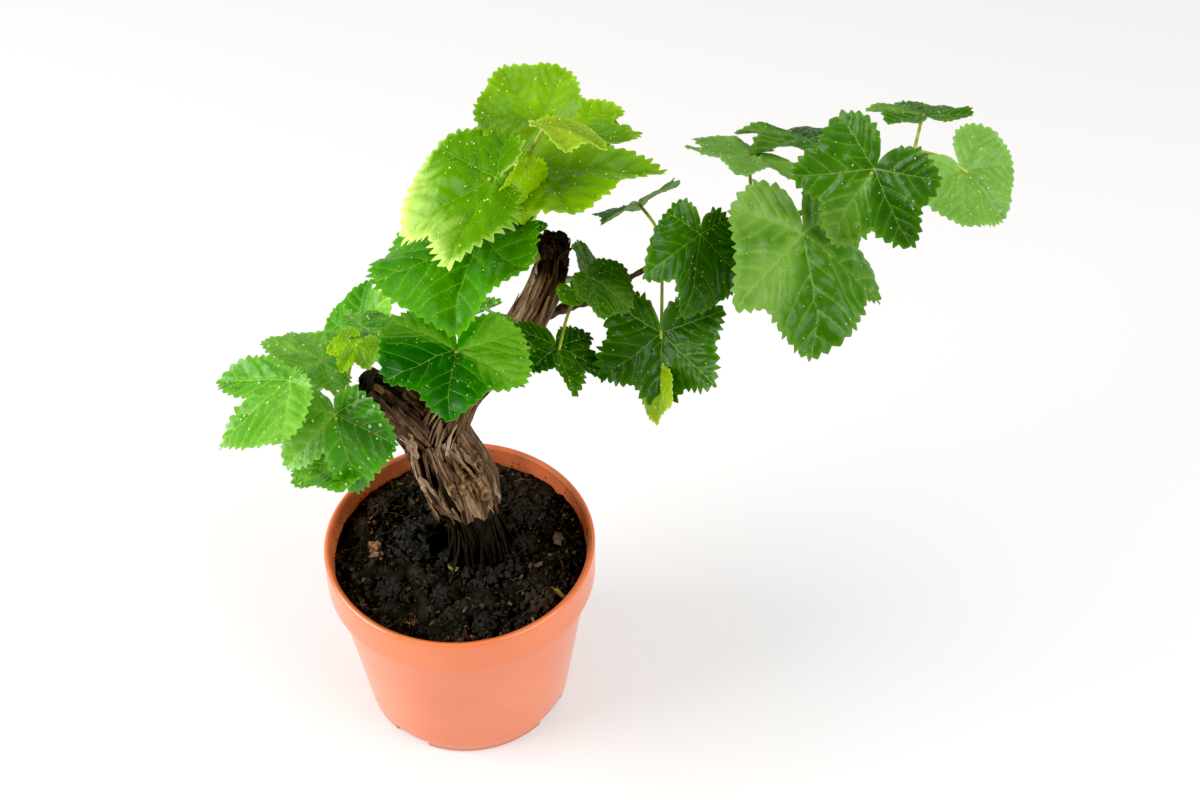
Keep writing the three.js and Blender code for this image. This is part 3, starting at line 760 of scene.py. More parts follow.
# Drops take the leaf's pale colour mixed with near white, a painted highlight
DROP_GLINT_COLOUR = (235, 245, 225)
DROP_GLINT_SHARE = 0.25


# Numbers and curves
def direction(heading, rise):
    """Unit vector at a heading anticlockwise from +X and a rise over the level, in degrees."""
    heading, rise = math.radians(heading), math.radians(rise)
    flat = math.cos(rise)
    return np.array([flat * math.cos(heading), flat * math.sin(heading), math.sin(rise)])


def unit(vectors):
    return vectors / np.linalg.norm(vectors, axis=-1, keepdims=True)


def smooth_step(values, low, high):
    share = np.clip((values - low) / (high - low), 0, 1)
    return share * share * (3 - 2 * share)


def scatter(cells, seed):
    """A fixed number from -1 to 1 for each whole-numbered cell."""
    value = cells.astype(np.int64) @ HASH_STEPS[: cells.shape[1]] + seed * HASH_SEED
    for shift in HASH_SHIFTS:
        value = (value ^ (value >> shift)) * HASH_MIX
    return (value >> HASH_DROP) % HASH_RANGE / HASH_RANGE * 2 - 1


def noise(points, size, seed):
    """Smooth noise from -1 to 1 whose features are about this size."""
    scaled = points / size
    cell = np.floor(scaled)
    part = scaled - cell
    fade = part * part * (3 - 2 * part)
    total = np.zeros(len(points))
    for corner in product((False, True), repeat=points.shape[1]):
        weight = np.prod(np.where(corner, fade, 1 - fade), axis=1)
        total += weight * scatter(cell + np.array(corner), seed)
    return total


def curve_through(path, count):
    """Centripetal curve through the path's points, as evenly spaced points."""
    path = np.array(path, float)
    knots = np.vstack([2 * path[0] - path[1], path, 2 * path[-1] - path[-2]])
    pieces = []
    for i in range(1, len(knots) - 2):
        p = knots[i - 1: i + 3]
        t = np.concatenate([[0], np.cumsum(np.linalg.norm(np.diff(p, axis=0), axis=1) ** 0.5)])
        at = np.linspace(t[1], t[2], count)[:, None]

        def between(a, b, low, high):
            return ((t[high] - at) * a + (at - t[low]) * b) / (t[high] - t[low])

        first, second, third = (between(p[k], p[k + 1], k, k + 1) for k in range(3))
        pieces.append(between(between(first, second, 0, 2), between(second, third, 1, 3), 1, 2))
    dense = np.vstack(pieces)
    length = np.concatenate([[0], np.cumsum(np.linalg.norm(np.diff(dense, axis=0), axis=1))])
    even = np.linspace(0, length[-1], count)
    return np.stack([np.interp(even, length, dense[:, k]) for k in range(3)], axis=1)


def frames_along(points, level_foot=False):
    """Two directions square to the curve at each point, steadied by the axis that it runs along least."""
    tangents = unit(np.gradient(points, axis=0))
    if level_foot:
        tangents[0] = (0, 0, 1)
    steady = np.eye(3)[np.argmin(np.abs(points[-1] - points[0]))]
    across = unit(steady - (tangents @ steady)[:, None] * tangents)
    return across, np.cross(tangents, across)


# Meshes
class Shape:
    """Points and faces gathered into one mesh, with a tone at each point and a place on the bake's map."""

    def __init__(self):
        self.points, self.tones, self.faces, self.slots, self.charts = [], [], [], [], []
        self.count = 0

    def add(self, points, faces, slot=0, tone=0.5, charts=None, extra=None):
        """faces is a list of arrays of corners, and charts a like list of arrays of map places.

        extra is one more array of corners with a slot and map places of its own.
        """
        self.points.append(points)
        self.tones.append(np.broadcast_to(tone, len(points)))
        for number, corners in enumerate(faces):
            self.faces += (np.asarray(corners) + self.count).tolist()
            self.slots += [slot] * len(corners)
            if charts is not None:
                self.charts.append(np.asarray(charts[number]).reshape(-1, 2))
        if extra is not None:
            corners, extra_slot, places = extra
            self.faces += (np.asarray(corners) + self.count).tolist()
            self.slots += [extra_slot] * len(corners)
            self.charts.append(np.asarray(places).reshape(-1, 2))
        self.count += len(points)

    def build(self, name, materials, nodes=(), slot=None, smooth=True):
        mesh = bpy.data.meshes.new(name)
        mesh.from_pydata(np.concatenate(self.points) * MM, [], self.faces)
        mesh.polygons.foreach_set("material_index", self.slots)
        if smooth:
            mesh.shade_smooth()
        tones = mesh.attributes.new("tone", "FLOAT", "POINT")
        tones.data.foreach_set("value", np.concatenate(self.tones).astype(np.float32))
        if self.charts:
            chart = mesh.uv_layers.new(name="OFBake")
            chart.data.foreach_set("uv", np.concatenate(self.charts).astype(np.float32).ravel())
        for material in materials:
            mesh.materials.append(material)
        piece = bpy.data.objects.new(name, mesh)
        bpy.context.scene.collection.objects.link(piece)
        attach(piece, BODY)
        if nodes:
            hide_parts(*nodes)
        return piece


def grid_faces(rows, columns, closed):
    """Quads between neighbouring rows of points, and their places on a unit map."""
    steps = columns if closed else columns - 1
    row, column = np.meshgrid(np.arange(rows - 1), np.arange(steps), indexing="ij")
    row, column = row.ravel(), column.ravel()
    after = (column + 1) % columns
    quads = np.stack([row * columns + column, row * columns + after,
                      (row + 1) * columns + after, (row + 1) * columns + column], axis=1)
    low, high = row / (rows - 1), (row + 1) / (rows - 1)
    start, stop = column / steps, (column + 1) / steps
    charts = np.stack([start, low, stop, low, stop, high, start, high], axis=1).reshape(-1, 4, 2)
    return quads, charts


def tube(points, radii, sides):
    """A closed tube round a line of points."""
    across, along = frames_along(points)
    turns = np.linspace(0, TURN, sides, endpoint=False)
    ring = np.cos(turns)[:, None] * across[:, None] + np.sin(turns)[:, None] * along[:, None]
    wall = points[:, None] + np.asarray(radii)[:, None, None] * ring
    quads, _ = grid_faces(len(points), sides, True)
    last = (len(points) - 1) * sides
    side = np.arange(sides)
    after = (side + 1) % sides
    centre = len(points) * sides
    ends = np.vstack([
        np.stack([after, side, np.full(sides, centre)], axis=1),
        np.stack([last + side, last + after, np.full(sides, centre + 1)], axis=1),
    ])
    return np.vstack([wall.reshape(-1, 3), points[0], points[-1]]), [quads, ends]


def ball(sides, rings):
    """Points of a unit ball and its faces."""
    tilt = np.linspace(0, math.pi, rings + 2)[1:-1]
    turn = np.linspace(0, TURN, sides, endpoint=False)
    tilt, turn = np.meshgrid(tilt, turn, indexing="ij")
    wall = np.stack([np.sin(tilt) * np.cos(turn), np.sin(tilt) * np.sin(turn), np.cos(tilt)], axis=-1)
    quads, _ = grid_faces(rings, sides, True)
    side = np.arange(sides)
    after = (side + 1) % sides
    top, bottom, last = rings * sides, rings * sides + 1, (rings - 1) * sides
    ends = np.vstack([
        np.stack([after, side, np.full(sides, top)], axis=1),
        np.stack([last + side, last + after, np.full(sides, bottom)], axis=1),
    ])
    return np.vstack([wall.reshape(-1, 3), (0, 0, 1), (0, 0, -1)]), [quads[:, ::-1], ends[:, ::-1]]


def random_turn(rng):
    """A random rotation."""
    axes, _ = np.linalg.qr(rng.normal(size=(3, 3)))
    return axes * np.sign(np.linalg.det(axes))


# Materials
def linear(colour):
    """Linear light of a screen colour given as 0 to 255."""
    share = np.array(colour) / 255
    return tuple(np.where(share <= 0.04045, share / 12.92, ((share + 0.055) / 1.055) ** 2.4))


def mixed(colour, other, share):
    """A colour with a share of another one."""
    return tuple(np.array(colour) * (1 - share) + np.array(other) * share)


def new_material(name, colour, roughness, **sockets):
    material = bpy.data.materials.new(name)
    material.use_nodes = True
    shader = material.node_tree.nodes["Principled BSDF"]
    shader.inputs["Base Color"].default_value = (*linear(colour), 1)
    shader.inputs["Roughness"].default_value = roughness
    for socket, value in sockets.items():
        shader.inputs[socket.replace("_", " ").title().replace("Ior", "IOR")].default_value = value
    return material, material.node_tree, shader


def texture(tree, scale, detail=3.0, stretch=None, kind="ShaderNodeTexNoise"):
    """A texture in the object's own place, drawn out along the stretch's axes."""
    place = tree.nodes.new("ShaderNodeTexCoord").outputs["Object"]
    if stretch:
        mapping = tree.nodes.new("ShaderNodeMapping")
        mapping.inputs["Scale"].default_value = stretch
        tree.links.new(place, mapping.inputs["Vector"])
        place = mapping.outputs["Vector"]
    node = tree.nodes.new(kind)
    node.inputs["Scale"].default_value = scale
    node.inputs["Detail"].default_value = detail
    tree.links.new(place, node.inputs["Vector"])
    return node


def colour_along(tree, shader, value, stops):
    """Colours a material along a value: stops are (place, colour)."""
    node = tree.nodes.new("ShaderNodeValToRGB")
    elements = node.color_ramp.elements
    while len(elements) < len(stops):
        elements.new(1)
    for element, (place, colour) in zip(elements, stops):
        element.position = place
        element.color = (*linear(colour), 1)
    tree.links.new(value, node.inputs["Fac"])
    tree.links.new(node.outputs["Color"], shader.inputs["Base Color"])


def add_bump(tree, shader, height, strength, distance):
    bump = tree.nodes.new("ShaderNodeBump")
    bump.inputs["Strength"].default_value = strength
    bump.inputs["Distance"].default_value = distance * MM
    tree.links.new(height, bump.inputs["Height"])
    tree.links.new(bump.outputs["Normal"], shader.inputs["Normal"])


def toned(tree, amount, noise_node):
    """The mesh's tone at a point, shifted a little by noise."""
    attribute = tree.nodes.new("ShaderNodeAttribute")
    attribute.attribute_name = "tone"
    shift = tree.nodes.new("ShaderNodeMath")
    shift.operation = "MULTIPLY_ADD"
    shift.inputs[1].default_value = amount
    tree.links.new(noise_node.outputs["Fac"], shift.inputs[0])
    tree.links.new(attribute.outputs["Fac"], shift.inputs[2])
    centre = tree.nodes.new("ShaderNodeMath")
    centre.operation = "SUBTRACT"
    centre.inputs[1].default_value = amount / 2
    tree.links.new(shift.outputs["Value"], centre.inputs[0])
    return centre.outputs["Value"]


def plain_material(paint, **sockets):
    """A colour that varies a little from place to place."""
    material, tree, shader = new_material(
        paint.name, paint.colour, paint.roughness, specular_ior_level=paint.gloss, **sockets
    )
    dark = tuple(part * (1 - paint.spread) for part in paint.colour)
    light = tuple(min(255, part * (1 + paint.spread)) for part in paint.colour)
    mottle = texture(tree, paint.scale)
    colour_along(tree, shader, mottle.outputs["Fac"], list(zip(PLAIN_STOPS, (dark, light))))
    return material


def grainy_material(grain):
    """Colours along the mesh's tone, shifted and raised by a grain."""
    material, tree, shader = new_material(
        grain.name, grain.colour, grain.roughness, specular_ior_level=grain.gloss
    )
    node = texture(tree, grain.scale, grain.detail, grain.stretch)
    colour_along(tree, shader, toned(tree, grain.shift, node), grain.stops)
    add_bump(tree, shader, node.outputs["Fac"], grain.bump, grain.depth)
    return material


def leaf_material(name, look):
    material, tree, shader = new_material(
        f"leaf_{name}", look.main, LEAF_ROUGHNESS, specular_ior_level=LEAF_SPECULAR,
        coat_weight=look.gloss, coat_roughness=LEAF_COAT_ROUGHNESS,
    )
    mottled = toned(tree, LEAF_MOTTLE_SHIFT, texture(tree, LEAF_MOTTLE_SCALE))
    colour_along(tree, shader, mottled, list(zip(LEAF_STOPS, (look.hollow, look.main, look.high))))
    veinlets = texture(tree, VEINLET_SCALE, 0, kind="ShaderNodeTexVoronoi")
    veinlets.feature = "DISTANCE_TO_EDGE"
    add_bump(tree, shader, veinlets.outputs["Distance"], VEINLET_BUMP, VEINLET_DEPTH)
    return material


def pot_material():
    material, tree, shader = new_material(
        "pot_plastic", POT_COLOUR, POT_ROUGHNESS, specular_ior_level=POT_GLOSS,
        coat_weight=POT_COAT, coat_roughness=POT_COAT_ROUGHNESS,
    )
    colour_along(tree, shader, texture(tree, *POT_CLOUDS).outputs["Fac"], POT_STOPS)
    add_bump(tree, shader, texture(tree, *POT_GRAIN).outputs["Fac"], *POT_BUMP)
    return material


# Pot
def arc(centre, radius, start, stop, steps):
    angles = np.radians(np.linspace(start, stop, steps))
    return [(centre[0] + radius * math.cos(a), centre[1] + radius * math.sin(a)) for a in angles]


def inside_radius(z):
    """The pot's inner radius at a height."""
    share = (z - FLOOR) / (POT_HEIGHT - LIP_RADIUS - FLOOR)
    return FOOT_RADIUS - WALL + (RIM_RADIUS - LIP_WIDTH - FOOT_RADIUS + WALL) * share


def pot_profile(notched):
    """Half section from the middle of the underside, up the outside, over the lip and down the inside."""
    band = POT_HEIGHT - BAND_HEIGHT
    lip = POT_HEIGHT - LIP_RADIUS
    body_top = RIM_RADIUS - BAND_STEP
    foot = FOOT_RADIUS - NOTCH_DEPTH if notched else FOOT_RADIUS
    ceiling = NOTCH_HEIGHT if notched else FOOT_ROUNDING

    def wall_radius(z):
        return FOOT_RADIUS + (body_top - FOOT_RADIUS) * z / band

    corner = wall_radius(ceiling)
    wall_levels = np.linspace(WALL_START, band - BAND_CLEARANCE, WALL_ROWS)
    band_levels = np.linspace(band + BAND_CLEARANCE, lip - LIP_CLEARANCE, BAND_ROWS)
    inside_levels = np.linspace(lip - LIP_CLEARANCE, FLOOR + FLOOR_CLEARANCE, INSIDE_ROWS)
    return np.array([
        (0, 0),
        (foot / 2, 0),
        *arc((foot - FOOT_ROUNDING, FOOT_ROUNDING), FOOT_ROUNDING, -90, 0, FOOT_ROWS),
        (foot, ceiling - NOTCH_GAP),
        (corner - NOTCH_CORNER, ceiling),
        (corner, ceiling + NOTCH_CORNER),
        *((wall_radius(z), z) for z in wall_levels),
        *arc((body_top + BAND_ROUNDING, band - BAND_ROUNDING), BAND_ROUNDING, 180, 90, CORNER_ROWS),
        *arc((RIM_RADIUS - BAND_ROUNDING, band + BAND_ROUNDING), BAND_ROUNDING, -90, 0, CORNER_ROWS),
        *((RIM_RADIUS, z) for z in band_levels),
        *arc((RIM_RADIUS - LIP_RADIUS, lip), LIP_RADIUS, 0, 180, LIP_ROWS),
        *((inside_radius(z), z) for z in inside_levels),
        (inside_radius(FLOOR) / 2, FLOOR),
        (0, FLOOR),
    ])


def pot_angles():
    """Columns round the pot, with a pair at each side of each notch, and which of them lie in a notch."""
    half = math.degrees(NOTCH_WIDTH / 2 / FOOT_RADIUS)
    middles = [NOTCH_FIRST_ANGLE + 360 / NOTCH_COUNT * i for i in range(NOTCH_COUNT)]
    edges = [
        middle + side * half + gap
        for middle, side, gap in product(middles, (-1, 1), (-NOTCH_SIDE, NOTCH_SIDE))
    ]
    even = np.linspace(0, 360, POT_COLUMNS, endpoint=False)
    angles = np.unique(np.round(np.concatenate([even, np.mod(edges, 360)]), 3))
    turned = (angles[:, None] - np.array(middles) + 180) % 360 - 180
    return angles, np.abs(turned).min(axis=1) < half


def make_pot():
    angles, notched = pot_angles()
    plain, cut = pot_profile(False), pot_profile(True)
    section = np.where(notched[None, :, None], cut[:, None], plain[:, None])
    reach, height = section[..., 0], section[..., 1]
    turns = np.radians(angles)
    wall = np.stack([reach * np.cos(turns), reach * np.sin(turns), height], axis=-1)
    quads, charts = grid_faces(len(plain), len(angles), True)
    # The faces inside the pot take the inner wall's paint: painted shade with a little soil stain
    inner = np.repeat(np.arange(len(plain) - 1), len(angles)) >= np.argmax(plain[:, 1])
    shape = Shape()
    shape.add(wall.reshape(-1, 3), [quads[~inner]], charts=[charts[~inner]],
              extra=(quads[inner], 1, charts[inner]))
    pot = shape.build("flower_pot", [pot_material(), plain_material(SHADED_POT_INSIDE)], ["pot"], "pot_plastic")
    weld(pot)


def weld(piece):
    """Joins the points that lie on each other where a surface closes on its axis, and parts sharp edges."""
    modifier = piece.modifiers.new("weld", "WELD")
    modifier.merge_threshold = WELD_REACH * MM
    edges = piece.modifiers.new("corners", "EDGE_SPLIT")
    edges.split_angle = math.radians(SHARP_ANGLE)


# Soil
def soil_height(x, y):
    """Height of the soil's surface: the solid's mound and swells, with finer crumbs."""
    edge = inside_radius(SOIL_LEVEL)
    reach = np.hypot(x, y) / edge
    clod, swell = TURN / CLOD_SPACING, TURN / SWELL_SPACING
    wave = np.sin(clod * x) * np.cos(clod * y) + np.sin(swell * (x - y))
    height = SOIL_LEVEL + SOIL_MOUND * (1 - reach * reach)
    height = height + SOIL_ROUGHNESS * wave * (1 - reach ** SWELL_FADE)
    place = np.stack([x, y], axis=-1).reshape(-1, 2)
    for seed, (size, depth) in enumerate(CRUMB_RELIEF, RELIEF_SEED):
        height = height + depth * noise(place, size, seed).reshape(np.shape(x))
    return height


def make_soil():
    edge = inside_radius(SOIL_LEVEL) - SOIL_WALL_GAP
    rings = np.linspace(SOIL_FIRST_RING, 1, SOIL_RINGS)
    turns = np.linspace(0, TURN, SOIL_COLUMNS, endpoint=False)
    reach, turn = np.meshgrid(rings * edge, turns, indexing="ij")
    x, y = reach * np.cos(turn), reach * np.sin(turn)
    z = soil_height(x, y)
    z[-1] = np.maximum(z[-1], SOIL_LEVEL - SOIL_EDGE_DROP)
    top = np.stack([x, y, z], axis=-1).reshape(-1, 3)
    foot = np.full(SOIL_COLUMNS, SOIL_LEVEL - SOIL_SINK)
    skirt = np.stack([x[-1] * SOIL_SKIRT, y[-1] * SOIL_SKIRT, foot], axis=-1)
    points = np.vstack([top, skirt])
    quads, _ = grid_faces(SOIL_RINGS + 1, SOIL_COLUMNS, True)
    chart = points[:, :2] / (SOIL_CHART_SPAN * edge) + 0.5
    chart[-SOIL_COLUMNS:] = top[-SOIL_COLUMNS:, :2] / (SKIRT_CHART_SPAN * edge) + 0.5
    tone = np.full(len(points), 0.5)
    for seed, (size, depth) in enumerate(SOIL_TONES, SOIL_TONE_SEED):
        tone = tone + depth * noise(points[:, :2], size, seed)
    shape = Shape()
    shape.add(points, [quads], tone=tone, charts=[chart[quads]])
    shape.build("potting_soil", [grainy_material(SOIL_GRAIN)], ["soil"], "compost")


def free_place(rng):
    """A random place on the soil."""
    turn = rng.uniform(0, TURN)
    reach = (inside_radius(SOIL_LEVEL) - CRUMB_WALL_GAP) * math.sqrt(rng.uniform(0, 1))
    return reach * math.cos(turn), reach * math.sin(turn)


def rough_forms(rng):
    """Angular crumbs of about unit size."""
    points, faces = ball(*ROUND_FORM)
    return [(points * rng.uniform(*CRUMB_CORNERS, (len(points), 1)), faces) for _ in range(CRUMB_FORMS)]


def level_turn(rng):
    """A random heading with a slight tilt."""
    heading, tilt = rng.uniform(0, TURN), rng.normal(0, CHIP_TILT)
    cos, sin = math.cos(heading), math.sin(heading)
    flat = np.array([[cos, -sin, 0], [sin, cos, 0], [0, 0, 1]])
    cos, sin = math.cos(tilt), math.sin(tilt)
    lean = np.array([[1, 0, 0], [0, cos, -sin], [0, sin, cos]])
    return flat @ lean


def add_lump(shape, forms, lump, rng):
    points, faces = forms[rng.integers(len(forms))]
    turned = level_turn(rng) if lump.stretch[2] < FLAT_LUMP else random_turn(rng)
    body = lump.size * (points * lump.stretch) @ turned.T
    show = LUMP_SHOWS * lump.size * lump.stretch[2]
    height = float(soil_height(np.array(lump.x), np.array(lump.y)))
    shape.add(body + (lump.x, lump.y, height + show + lump.rise), faces, lump.slot)


def add_clod(shape, forms, clod, rng):
    """A clod of many crumbs heaped together."""
    for _ in range(CLOD_CRUMBS):
        heading, reach = rng.uniform(0, TURN), math.sqrt(rng.uniform())
        x = clod.x + clod.size * reach * math.cos(heading)
        y = clod.y + clod.size * reach * math.sin(heading)
        rise = clod.size * clod.stretch[2] * math.sqrt(1 - reach * reach) * rng.uniform(*CLOD_HEIGHTS)
        size = clod.size * rng.uniform(*CLOD_CRUMB_SIZES)
        add_lump(shape, forms, Lump(x, y, size, CLOD_CRUMB_STRETCH, clod.slot, rise), rng)


def make_crumbs():
    rng = np.random.default_rng(CRUMB_SEED)
    forms = rough_forms(rng)
    shape = Shape()
    for lump in NOTABLE_LUMPS:
        add_lump(shape, forms, lump, rng)
    for clod in CLODS:
        add_clod(shape, forms, clod, rng)
    for loose in LOOSE_BITS:
        low, high = loose.sizes
        for _ in range(loose.count):
            size = low + (high - low) * rng.uniform() ** loose.rarity
            slot = int(rng.choice(len(loose.shares), p=loose.shares))
            add_lump(shape, forms, Lump(*free_place(rng), size, loose.stretch, slot, loose.rise), rng)
    add_wall_specks(shape, forms, rng)
    shape.build("soil_crumbs", [plain_material(paint) for paint in CRUMB_PAINTS], smooth=False)


def add_wall_specks(shape, forms, rng):
    """Crumbs that cling to the pot's inner wall over the soil."""
    for _ in range(WALL_SPECKS):
        turn, rise = rng.uniform(0, TURN), WALL_SPECK_REACH * rng.uniform() ** 2
        z = SOIL_LEVEL + rise
        reach = inside_radius(z)
        points, faces = forms[rng.integers(len(forms))]
        centre = np.array([reach * math.cos(turn), reach * math.sin(turn), z])
        size = rng.uniform(*WALL_SPECK_RADII)
        shape.add(centre + size * points, faces, int(rng.choice(WALL_SPECK_PAINTS)))


def make_fibres():
    rng = np.random.default_rng(FIBRE_SEED)
    shape = Shape()
    steps = np.linspace(0, 1, FIBRE_STEPS)
    most = inside_radius(SOIL_LEVEL) - FIBRE_WALL_GAP
    for _ in range(FIBRES):
        heading, length = rng.uniform(0, TURN), rng.uniform(*FIBRE_LENGTHS)
        bend = heading + rng.normal(0, FIBRE_BEND) * steps
        course = np.stack([np.cos(bend), np.sin(bend)], axis=1)
        line = np.cumsum(course * length / FIBRE_STEPS, axis=0) + free_place(rng)
        line = line * np.minimum(1, most / np.linalg.norm(line, axis=1))[:, None]
        lift = FIBRE_LIFT + rng.uniform(*FIBRE_RISES) * steps
        points = np.column_stack([line, soil_height(line[:, 0], line[:, 1]) + lift])
        radii = rng.uniform(*FIBRE_RADII) * (1 - FIBRE_TAPER * steps)
        slot = int(rng.choice(len(FIBRE_SHARES), p=FIBRE_SHARES))
        shape.add(*tube(points, radii, FIBRE_SIDES), slot=slot)
    foot = np.array([*TUFT, float(soil_height(np.array(TUFT[0]), np.array(TUFT[1])))])
    radii = STRAW_RADIUS * (1 - STRAW_TAPER * steps)
    for _ in range(TUFT_STRAWS):
        course = direction(rng.uniform(0, 360), rng.uniform(*STRAW_RISES))
        start = foot + rng.normal(0, TUFT_SPREAD, 3) * (1, 1, 0)
        line = start + np.outer(steps * rng.uniform(*STRAW_LENGTHS), course)
        shape.add(*tube(line, radii, FIBRE_SIDES), slot=int(rng.choice(STRAW_PAINTS)))
    shape.build("soil_fibres", [plain_material(paint) for paint in FIBRE_PAINTS])


# Woody limbs
class LimbSurface:
    """A limb's middle line, square directions and radius, to be read at any share of its length."""

    def __init__(self, limb):
        self.shares = np.linspace(0, 1, LIMB_SAMPLES)
        self.points = curve_through(limb.path, LIMB_SAMPLES)
        self.across, self.along = frames_along(self.points, limb.level_foot)
        self.radii = np.interp(self.shares, np.linspace(0, 1, len(limb.radii)), limb.radii)
        self.length = np.linalg.norm(np.diff(self.points, axis=0), axis=1).sum()

    def read(self, values, share):
        if values.ndim == 1:
            return np.interp(share, self.shares, values)
        return np.stack([np.interp(share, self.shares, values[:, k]) for k in range(3)], axis=-1)

    def place(self, share, turn, lift):
        """Points at these shares and turns, lifted off the smooth surface."""
        ridges = np.sin(BARK_RIDGES * turn + RIDGE_TWIST * share)
        swell = ridges * np.cos(BARK_SWELLS * turn + SWELL_TWIST * share)
        radius = self.read(self.radii, share) * (1 + BARK_DEPTH * swell) + lift
        out = np.cos(turn)[..., None] * self.read(self.across, share)
        out = out + np.sin(turn)[..., None] * self.read(self.along, share)
        return self.read(self.points, share) + radius[..., None] * out

    def flat(self, share, turn):
        """The same places on an even cylinder, for noise that closes round the limb."""
        radius = self.radii.mean()
        flat = np.stack([radius * np.cos(turn), radius * np.sin(turn), share * self.length], axis=-1)
        return flat.reshape(-1, 3)


def patches(flat, feature, seed=0):
    """A feature's noise."""
    return feature.depth * noise(flat / (1, 1, feature.stretch), feature.size, seed + feature.seed)


def drawn_noise(flat, feature, seed=0):
    """A feature's noise from -1 to 1, wandering a little."""
    seed = seed + feature.seed
    wander = flat.copy()
    for axis in range(2):
        sway = noise(flat, DRAWN_WANDER_SIZE * feature.size, seed + 1 + axis)
        wander[:, axis] += DRAWN_WANDER * feature.size * sway
    return noise(wander / (1, 1, feature.stretch), feature.size, seed)


def turned_from(turn, middle):
    """Angle from a middle, the short way round."""
    return (turn - middle + math.pi) % TURN - math.pi


def layered_bark(surface, share, turn, bark):
    """Height of the bark and how pale it is: long strips in layers, with gaps between them painted dark as
    shade.
    """
    rng = np.random.default_rng(bark.seed)
    flat = surface.flat(share, turn)
    radius = surface.read(surface.radii, share)
    along = share * surface.length
    wander = patches(flat, STRIP_WANDER, bark.seed)
    lift = np.full(len(flat), float(GAP_HEIGHT))
    tone = np.full(len(flat), SHADED_GAP_TONE)
    for _ in range(bark.strips):
        middle, place = rng.uniform(0, TURN), rng.uniform(0, surface.length)
        half_width, half_length = rng.uniform(*bark.half_widths), rng.uniform(*bark.half_lengths)
        height, paleness = rng.uniform(*bark.heights), rng.uniform(*bark.tones)
        run = along - place
        around = turned_from(turn, middle) * radius + wander + rng.normal(0, STRIP_LEAN) * run
        ends = np.sqrt(np.clip(1 - (run / half_length) ** STRIP_END, STRIP_NARROWEST, 1))
        side = np.abs(around) / (half_width * ends)
        inner = np.minimum(1 - side, (half_length - np.abs(run)) / half_width)
        edge = smooth_step(inner, 0, STRIP_EDGE)
        top = GAP_HEIGHT + (height - GAP_HEIGHT) * edge
        over = (inner > 0) & (top > lift)
        rim = RIM_PALENESS * np.exp(-(((inner - STRIP_RIM) / STRIP_RIM) ** 2))
        lift = np.where(over, top, lift)
        # A strip's tone falls to the gaps' painted shade over its sloping edge
        tone = np.where(over, SHADED_GAP_TONE + (paleness + rim - SHADED_GAP_TONE) * edge, tone)
    threads = drawn_noise(flat, THREADS, bark.seed)
    lift = lift + THREADS.depth * threads + BARK_LUMPS.depth * drawn_noise(flat, BARK_LUMPS, bark.seed)
    return lift, tone + THREAD_TONE * threads * (tone > SHADED_GAP_TONE)


def knotted(surface, share, turn, lift, tone, warm):
    """Knots with rings and a dimple."""
    height = surface.read(surface.points, share)[:, 2]
    wobble = 1 + patches(surface.flat(share, turn), KNOT_WOBBLE)
    for knot in KNOTS:
        gap = turned_from(turn, math.radians(knot.turn)) * surface.radii.mean()
        reach = np.hypot(gap, height - knot.height) / knot.size * wobble
        rings = np.cos(KNOT_RINGS * TURN * reach) * np.exp(-reach * reach)
        near = np.exp(-reach ** KNOT_EDGE)
        dimple = 1 - KNOT_DIMPLE * np.exp(-KNOT_DIMPLE_POWER * reach * reach)
        lift = lift * (1 - KNOT_SMOOTHING * near) + KNOT_HEIGHT * near * dimple - KNOT_RING_DEPTH * rings
        tone = tone * (1 - KNOT_SHADE * near) + near * (KNOT_TONE - KNOT_RING_TONE * rings)
        warm = warm + KNOT_OCHRE * near
    return lift, tone, warm


def trunk_details(surface, share, turn, lift, tone):
    """The trunk's knots, its hollow and its dark fibrous neck, and where its bark is ochre."""
    height = surface.read(surface.points, share)[:, 2]
    flat = surface.flat(share, turn)
    lift, tone, warm = knotted(surface, share, turn, lift, tone, patches(flat, TRUNK_OCHRE))
    gap = turned_from(turn, math.radians(HOLLOW.turn)) * surface.radii.mean()
    reach = np.hypot(gap / HOLLOW.wide, (height - HOLLOW.height) / HOLLOW.tall)
    pit = 1 - smooth_step(reach, *HOLLOW_EDGE)
    lift = lift - HOLLOW_DEPTH * pit
    tone = tone * (1 - HOLLOW_SHADE * pit)
    ragged = SKIRT_HEIGHT + SKIRT_RISE_LEFT * np.clip(np.sin(turn), 0, 1)
    ragged = ragged + patches(flat, SKIRT_RAGGED) + patches(flat, SKIRT_SWELL)
    skirt = smooth_step(height, ragged - SKIRT_EDGE, ragged + SKIRT_EDGE)
    strands = np.abs(drawn_noise(flat, NECK_STRANDS))
    lift = lift * skirt + (1 - skirt) * (NECK_STRANDS.depth * strands - NECK_INSET)
    tone = tone * skirt + (1 - skirt) * (NECK_TONE + NECK_STRAND_TONE * strands)
    over = (height - ragged - SKIRT_OCHRE_RISE) / SKIRT_OCHRE_WIDTH
    warm = warm + SKIRT_OCHRE * np.exp(-(over ** 2))
    return lift, tone, warm * skirt


def left_arm_details(surface, share, turn, lift, tone):
    """Where the left arm's bark is ochre."""
    return lift, tone, patches(surface.flat(share, turn), LEFT_ARM_OCHRE)


def right_arm_details(surface, share, turn, lift, tone):
    """The right arm's top is dark and cracked, and the rest streaked with ochre."""
    flat = surface.flat(share, turn)
    char = smooth_step(share + patches(flat, CHAR_EDGE), *CHAR_SHARES)
    cracks = np.abs(patches(flat, CHAR_CRACKS)) < CRACK_WIDTH
    warm = (RIGHT_ARM_WARMTH + patches(flat, RIGHT_ARM_OCHRE)) * (1 - char)
    lift = lift * (1 + CHAR_SWELL * char) - CRACK_DEPTH * char * cracks
    return lift, tone * (1 - CHAR_SHADE * char), warm


